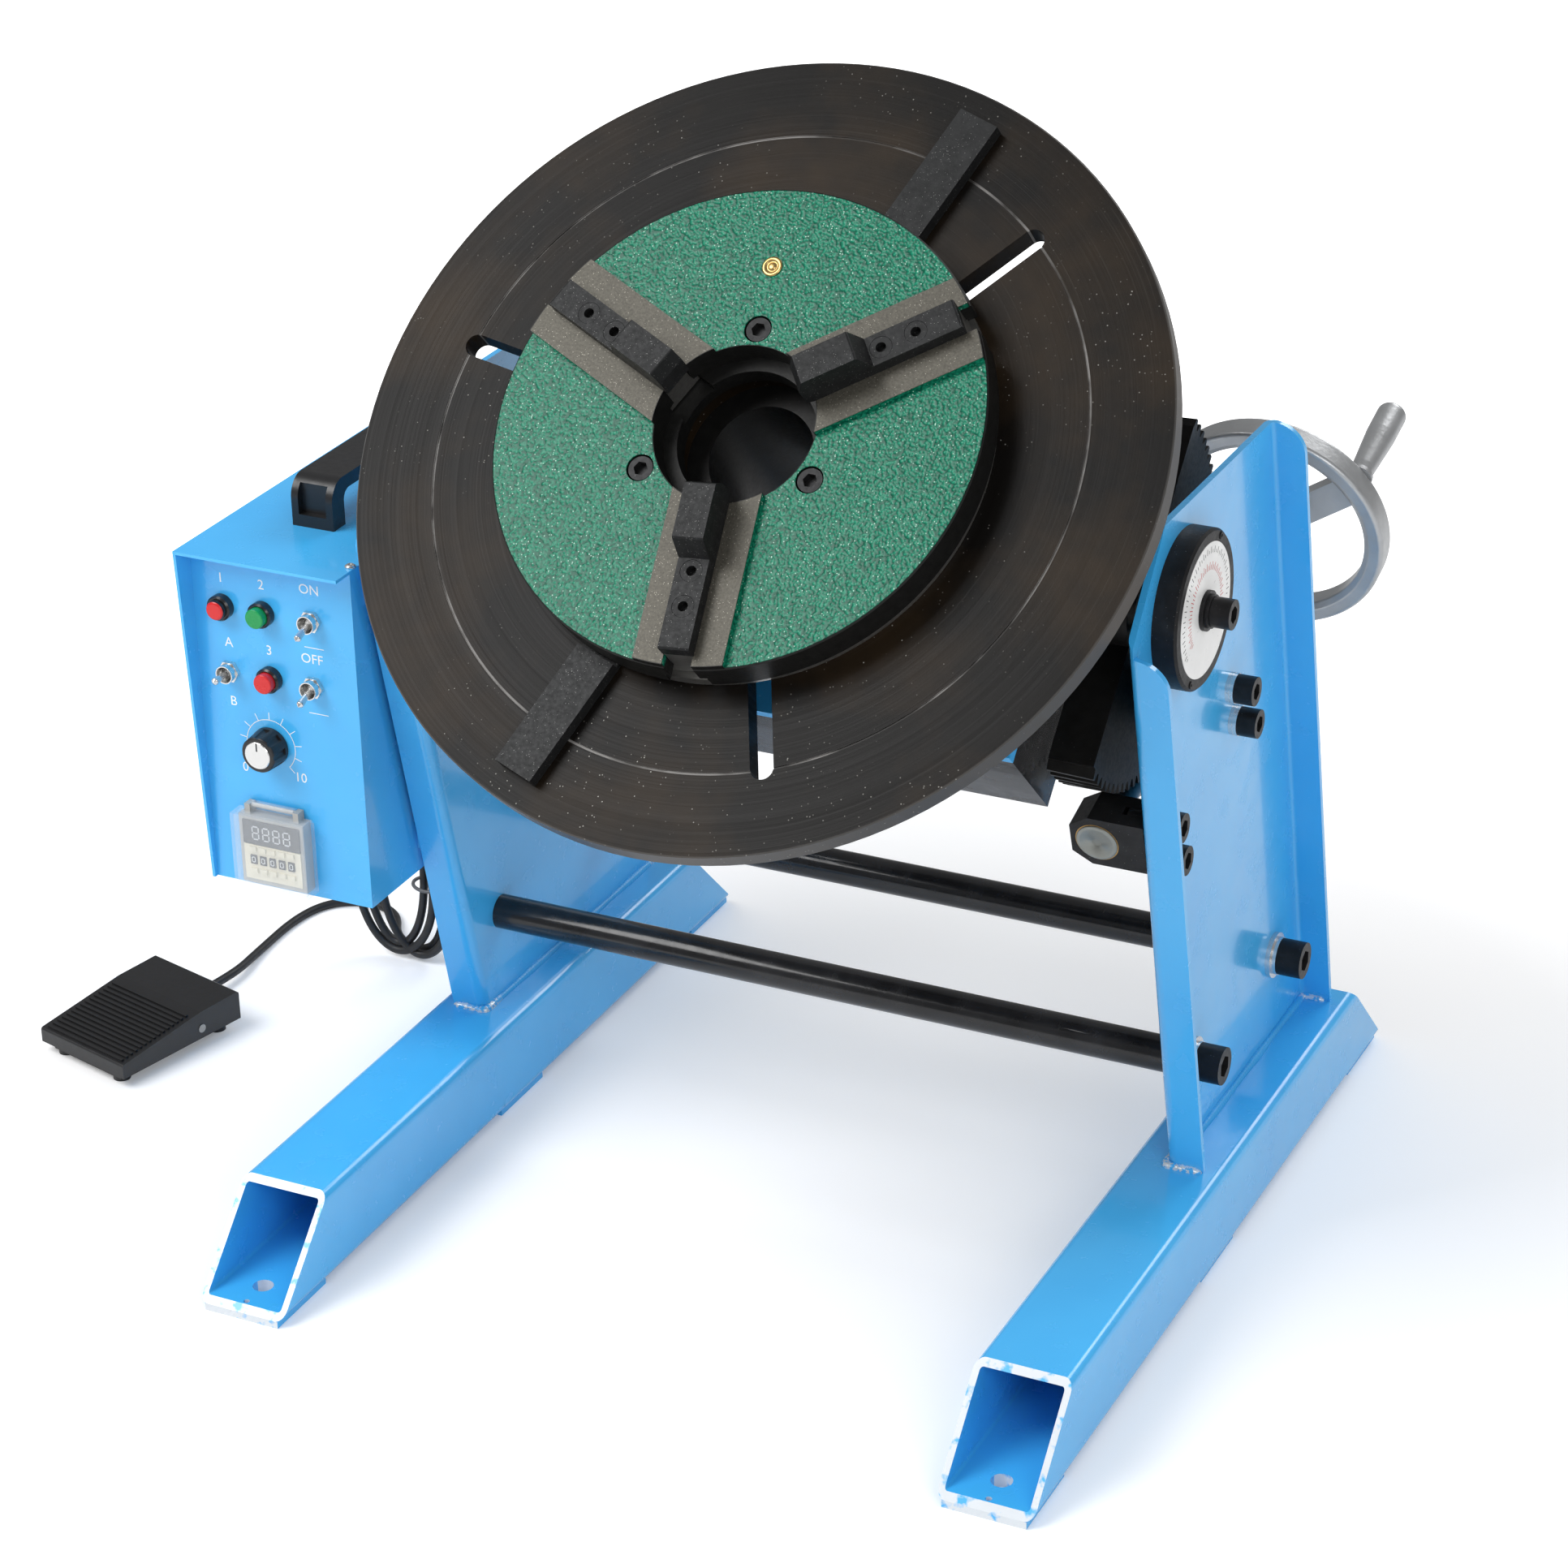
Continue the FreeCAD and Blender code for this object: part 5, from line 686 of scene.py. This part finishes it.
# ---------------------------------------------------------------------------------------------
# Tilt scale: black and red degree lines printed on the white disc at the right-hand pivot.  The
# black scale has a line each 5 degrees, the red one a line each 10.
# ---------------------------------------------------------------------------------------------
def bars(placements, size_m):
    """Boxes: each placement gives a centre, a length direction, a width direction and a length;
    corners = centre +- half of (length, width, height), joined into one mesh."""
    signs = np.array([(a, b, c) for c in (-1, 1) for a, b in ((-1, -1), (1, -1), (1, 1),
                                                              (-1, 1))])
    corners, faces = [], []
    for centre, long_way, wide_way, length in placements:
        long_way, wide_way = np.asarray(long_way, dtype=float), np.asarray(wide_way, dtype=float)
        high_way = np.cross(long_way, wide_way)
        half = np.array((length, size_m[0], size_m[1])) / 2
        start = len(corners) * 8
        corners.append(np.asarray(centre) + (signs * half) @ np.stack((long_way, wide_way,
                                                                       high_way)))
        faces += [[start + k for k in face] for face in
                  ((3, 2, 1, 0), (4, 5, 6, 7), (0, 1, 5, 4), (1, 2, 6, 5), (2, 3, 7, 6),
                   (3, 0, 4, 7))]
    return np.concatenate(corners), faces


ink_black = plain("printed_black", (0.02, 0.02, 0.022), 0.5)
ink_red = plain("printed_red", (0.55, 0.06, 0.06), 0.5)
ink_white = plain("printed_white", (0.88, 0.90, 0.92), 0.5)
dial_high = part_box("dial_plate")[1]
SCALE_FIRST, SCALE_LAST, LINE_WIDTH, LINE_DEPTH = -5, 215, 0.00045, 0.0001
for ink_name, ink, step, inner, short, long in (("black", ink_black, 5, 0.0335, 0.0020, 0.0038),
                                               ("red", ink_red, 5, 0.0235, 0.0030, 0.0048)):
    lines = []
    for degrees in range(SCALE_FIRST, SCALE_LAST + 1, step):
        turn_by = math.radians(degrees)
        outward = (0.0, math.cos(turn_by), math.sin(turn_by))
        round_way = (0.0, -math.sin(turn_by), math.cos(turn_by))
        length = long if degrees % 10 == 0 else short
        reach = inner + length / 2
        lines.append(((dial_high[0] + 0.00002, PIVOT_Y + reach * outward[1],
                       PIVOT_Z + reach * outward[2]), outward, round_way, length))
    vertices, faces = bars(lines, (LINE_WIDTH, LINE_DEPTH))
    piece("tilt_scale_%s" % ink_name, vertices, faces, ink, "cradle", smooth=False)

# ---------------------------------------------------------------------------------------------
# Panel printing: white words and lines silk-screened on the blue front of the control box, and
# the ring of lines round the speed knob.
# ---------------------------------------------------------------------------------------------
PANEL_Y = -0.093


def printed_word(name, word, centre_x, centre_z, height_m, ink, y, body="frame"):
    """Word cut from the built-in typeface as a thin flat solid that faces the front."""
    letters = bpy.data.curves.new(name, "FONT")
    letters.body = word
    letters.align_x, letters.align_y = "CENTER", "CENTER"
    letters.size = height_m * 1.4
    letters.extrude = 0.00005
    letters.resolution_u = 3
    holder = bpy.data.objects.new(name + "_type", letters)
    flat = bpy.data.meshes.new_from_object(holder)
    bpy.data.objects.remove(holder)
    joined = bmesh.new()
    joined.from_mesh(flat)
    bmesh.ops.remove_doubles(joined, verts=joined.verts, dist=1e-6)
    joined.to_mesh(flat)
    joined.free()
    across = np.empty(len(flat.vertices) * 3)
    flat.vertices.foreach_get("co", across)
    across = across.reshape(-1, 3)
    faces = [list(face.vertices) for face in flat.polygons]
    bpy.data.meshes.remove(flat)
    points = np.column_stack((centre_x + across[:, 0], y - across[:, 2], centre_z + across[:, 1]))
    piece(name, points, faces, ink, body, smooth=False)


for word, word_x, word_z in (("1", -0.3630, 0.3880), ("2", -0.3334, 0.3880),
                             ("ON", -0.2985, 0.3905), ("A", -0.3605, 0.3445),
                             ("3", -0.3310, 0.3440), ("OFF", -0.2997, 0.3435),
                             ("B", -0.3605, 0.3040), ("0", -0.3555, 0.2590),
                             ("10", -0.3145, 0.2590)):
    printed_word("legend_%s" % word, word, word_x, word_z, 0.0066, ink_white, PANEL_Y)
KNOB_X, KNOB_Z = -0.335, 0.2777
SCALE_START, TICK_APART, RING_APART = 225, 27, 5
TICK_REACH, RING_REACH, SWITCH_LINE_X = 0.0205, 0.0178, -0.2975
lines = []
for number in range(11):
    turn_by = math.radians(SCALE_START - TICK_APART * number)
    outward = (math.cos(turn_by), 0.0, math.sin(turn_by))
    round_way = (-math.sin(turn_by), 0.0, math.cos(turn_by))
    lines.append(((KNOB_X + TICK_REACH * outward[0], PANEL_Y, KNOB_Z + TICK_REACH * outward[2]),
                  outward, round_way, 0.0050))
for number in range(54):
    turn_by = math.radians(SCALE_START - RING_APART * (number + 0.5))
    outward = (math.cos(turn_by), 0.0, math.sin(turn_by))
    round_way = (-math.sin(turn_by), 0.0, math.cos(turn_by))
    lines.append(((KNOB_X + RING_REACH * outward[0], PANEL_Y, KNOB_Z + RING_REACH * outward[2]),
                  round_way, outward, 0.0017))
for line_z in (0.3515, 0.3065):
    lines.append(((SWITCH_LINE_X, PANEL_Y, line_z), (1, 0, 0), (0, 0, 1), 0.0140))
vertices, faces = bars(lines, (0.0005, 0.0001))
piece("panel_lines", vertices, faces, ink_white, "frame", smooth=False)

# ---------------------------------------------------------------------------------------------
# Speed knob cap: a spun aluminium disc let into the black knob, with a pointer line.
# ---------------------------------------------------------------------------------------------
spun, tree, shader, place = new_material("spun_aluminium")
from_centre = wire(tree, "VectorMath", "Vector", {"operation": "SUBTRACT"}, i0=place,
                   i1=(KNOB_X, PANEL_Y, KNOB_Z))
reach = wire(tree, "VectorMath", "Value", {"operation": "LENGTH"}, i0=from_centre)
tree.links.new(mixed(tree, noise(tree, wire(tree, "CombineXYZ", "Vector", X=math_node(
    tree, "MULTIPLY", reach, 3000.0)), 1.0), (0.62, 0.62, 0.61), (0.86, 0.86, 0.85)),
    shader.inputs["Base Color"])
shader.inputs["Metallic"].default_value = 0.95
shader.inputs["Roughness"].default_value = 0.24
knob_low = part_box("speed_knob")[0]
vertices, faces = revolved([(0.0086, 0), (0.0092, 0), (0.0092, 0.0005), (0.0088, 0.0009)],
                           (KNOB_X, knob_low[1] + 0.0001, KNOB_Z), (0, -1, 0))
piece("knob_cap", vertices, faces, spun, "speed_knob", smooth=False)
vertices, faces = bars([((KNOB_X, knob_low[1] - 0.0009, KNOB_Z + 0.0060), (0, 0, 1), (1, 0, 0),
                         0.0058)], (0.0008, 0.0003))
piece("knob_pointer", vertices, faces, ink_black, "speed_knob", smooth=False)

# ---------------------------------------------------------------------------------------------
# Timer front: a smoked display window with four seven-segment digits over a cream plate that
# carries five thumbwheels, each with a digit and a plus and a minus key.
# ---------------------------------------------------------------------------------------------
TIMER_X, TIMER_Z = -0.334, 0.206
TIMER_FACE = PANEL_Y - 0.009
FRONT_WIDTH, WINDOW_UP, PLATE_DOWN = 0.042, 0.0125, 0.0085
DIGITS_LEFT, DIGIT_APART = 0.0115, 0.0077
WHEELS_LEFT, WHEEL_APART, WHEELS_DOWN = 0.0140, 0.0070, 0.0065
smoked = plain("smoked_window", (0.055, 0.056, 0.060), 0.16)
cream = plain("cream_plate", (0.78, 0.73, 0.58), 0.42)
pale_digit = plain("pale_digits", (0.62, 0.64, 0.66), 0.4)
across_way, up_way = (1, 0, 0), (0, 0, 1)
vertices, faces = bars([((TIMER_X, TIMER_FACE - 0.0004, TIMER_Z + WINDOW_UP), across_way, up_way,
                         FRONT_WIDTH)], (0.0165, 0.0012))
piece("timer_window", vertices, faces, smoked, "frame", smooth=False)
vertices, faces = bars([((TIMER_X, TIMER_FACE - 0.0004, TIMER_Z - PLATE_DOWN), across_way, up_way,
                         FRONT_WIDTH)], (0.0245, 0.0010))
piece("timer_plate", vertices, faces, cream, "frame", smooth=False)
SEGMENTS = ((0.0, 1.0, True), (0.0, 0.0, True), (0.0, -1.0, True), (-0.5, 0.5, False),
            (0.5, 0.5, False), (-0.5, -0.5, False), (0.5, -0.5, False))
strokes = []
for digit in range(4):
    for segment_x, segment_z, level_stroke in SEGMENTS:
        strokes.append(((TIMER_X - DIGITS_LEFT + DIGIT_APART * digit + 0.0046 * segment_x,
                         TIMER_FACE - 0.0011, TIMER_Z + WINDOW_UP + 0.0044 * segment_z),
                        across_way if level_stroke else up_way,
                        up_way if level_stroke else across_way, 0.0034))
vertices, faces = bars(strokes, (0.0009, 0.0002))
piece("timer_digits", vertices, faces, pale_digit, "frame", smooth=False)
frames, keys, marks = [], [], []
for wheel in range(5):
    wheel_x = TIMER_X - WHEELS_LEFT + WHEEL_APART * wheel
    frames.append(((wheel_x, TIMER_FACE - 0.0010, TIMER_Z - WHEELS_DOWN), up_way, across_way,
                   0.0062))
    for lift in (0.0012, -0.0142):
        keys.append(((wheel_x, TIMER_FACE - 0.0013, TIMER_Z + lift), across_way, up_way, 0.0050))
    for k, (segment_x, segment_z, level_stroke) in enumerate(SEGMENTS):
        if k != 1:
            marks.append(((wheel_x + 0.0022 * segment_x, TIMER_FACE - 0.0017,
                           TIMER_Z - WHEELS_DOWN + 0.0017 * segment_z),
                          across_way if level_stroke else up_way,
                          up_way if level_stroke else across_way, 0.0015))
for group_name, group_bars, group_size, ink in (
        ("frames", frames, (0.0046, 0.0014), ink_black), ("keys", keys, (0.0034, 0.0020), cream),
        ("marks", marks, (0.0005, 0.0002), ink_white)):
    vertices, faces = bars(group_bars, group_size)
    piece("timer_wheel_%s" % group_name, vertices, faces, ink, "frame", smooth=False)

# ---------------------------------------------------------------------------------------------
# Pedal cord: a 6 mm round rubber lead, about 1.35 m.  It comes out of a gland under the control
# box, hangs there in loose loops that touch the floor, and runs to the back of the foot pedal.
# ---------------------------------------------------------------------------------------------
CORD_RADIUS = 0.003
CORD_EXIT = (-0.366, 0.138, 0.170)
TIE_CENTRE, TIE_POINTS, TIE_RADIUS = (-0.3680, 0.138, 0.063), 60, 0.0013


def hanging_loops(turns, start_degrees, per_turn=16):
    """Points along upright oval turns: x = centre + w cos a, z = middle + h sin a, where a falls
    by one turn per loop; centre, w, bottom, top and y change slowly from loop to loop."""
    t = np.linspace(0, turns, turns * per_turn, endpoint=False)
    a = math.radians(start_degrees) - 2 * math.pi * t
    stages = (0.55, 1.05, 1.55, 2.05)
    centre = np.interp(t, stages, (-0.3960, -0.3970, -0.3960, -0.3780))
    half_width = np.interp(t, stages, (0.033, 0.0235, 0.024, 0.0310))
    bottom = np.interp(t, stages, (0.0045, 0.0090, 0.0090, 0.0045))
    top = np.interp(t, stages, (0.120, 0.128, 0.130, 0.136))
    y = np.interp(t, (0, 1, 2, 3), (0.1345, 0.1410, 0.1350, 0.1405))
    return np.column_stack((centre + half_width * np.cos(a), y,
                            (bottom + top) / 2 + (top - bottom) / 2 * np.sin(a)))


cord_route = np.vstack((
    [CORD_EXIT, (-0.366, 0.138, 0.155), (-0.366, 0.1375, 0.138)],
    hanging_loops(3, 20),
    [(-0.356, 0.1400, 0.075), (-0.360, 0.1410, 0.030), (-0.372, 0.1430, 0.008),
     (-0.392, 0.1480, 0.003), (-0.412, 0.160, 0.003), (-0.427, 0.1883, 0.003),
     (-0.4557, 0.197, 0.003), (-0.4822, 0.183, 0.003), (-0.4915, 0.1506, 0.003),
     (-0.489, 0.100, 0.003), (-0.4807, 0.049, 0.0085), (-0.491, 0.0104, 0.0085)]))
cord_curve = bpy.data.curves.new("pedal_cord", "CURVE")
cord_curve.dimensions = "3D"
cord_curve.bevel_depth = CORD_RADIUS
cord_curve.bevel_resolution = 4
cord_curve.resolution_u = 10
cord_curve.use_fill_caps = True
cord_curve.materials.append(rubber)
spline = cord_curve.splines.new("NURBS")
spline.points.add(len(cord_route) - 1)
spline.points.foreach_set("co", np.column_stack((cord_route, np.ones(len(cord_route)))).ravel())
spline.order_u = 3
spline.use_endpoint_u = True
pedal_cord = bpy.data.objects.new("pedal_cord", cord_curve)
scene.collection.objects.link(pedal_cord)
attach(pedal_cord, "frame")
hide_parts("cord_loops", "cord_floor_run")
vertices, faces = revolved([(0.0058, 0), (0.0062, 0.0010), (0.0060, 0.0060), (0.0050, 0.0066),
                            (0.0056, 0.0080), (0.0054, 0.0120), (0.0045, 0.0126),
                            (0.0050, 0.0140), (0.0048, 0.0180), (0.0040, 0.0186),
                            (0.0044, 0.0200), (0.0037, 0.0300), (0.0032, 0.0310)],
                           (-0.366, 0.138, 0.1695), (0, 0, -1))
piece("cord_boot", vertices, faces, rubber, "frame")
turn_by = np.linspace(0, 2 * math.pi, TIE_POINTS)
tie_path = np.column_stack((TIE_CENTRE[0] + 0.0125 * np.cos(turn_by),
                            TIE_CENTRE[1] + 0.0075 * np.sin(turn_by),
                            TIE_CENTRE[2] + 0.002 * np.sin(turn_by)))
vertices, faces = swept(tie_path, np.full(TIE_POINTS, TIE_RADIUS), 8)
tie_grey = plain("cord_tie", (0.12, 0.12, 0.125), 0.4)
piece("cord_tie", vertices, faces, tie_grey, "frame")
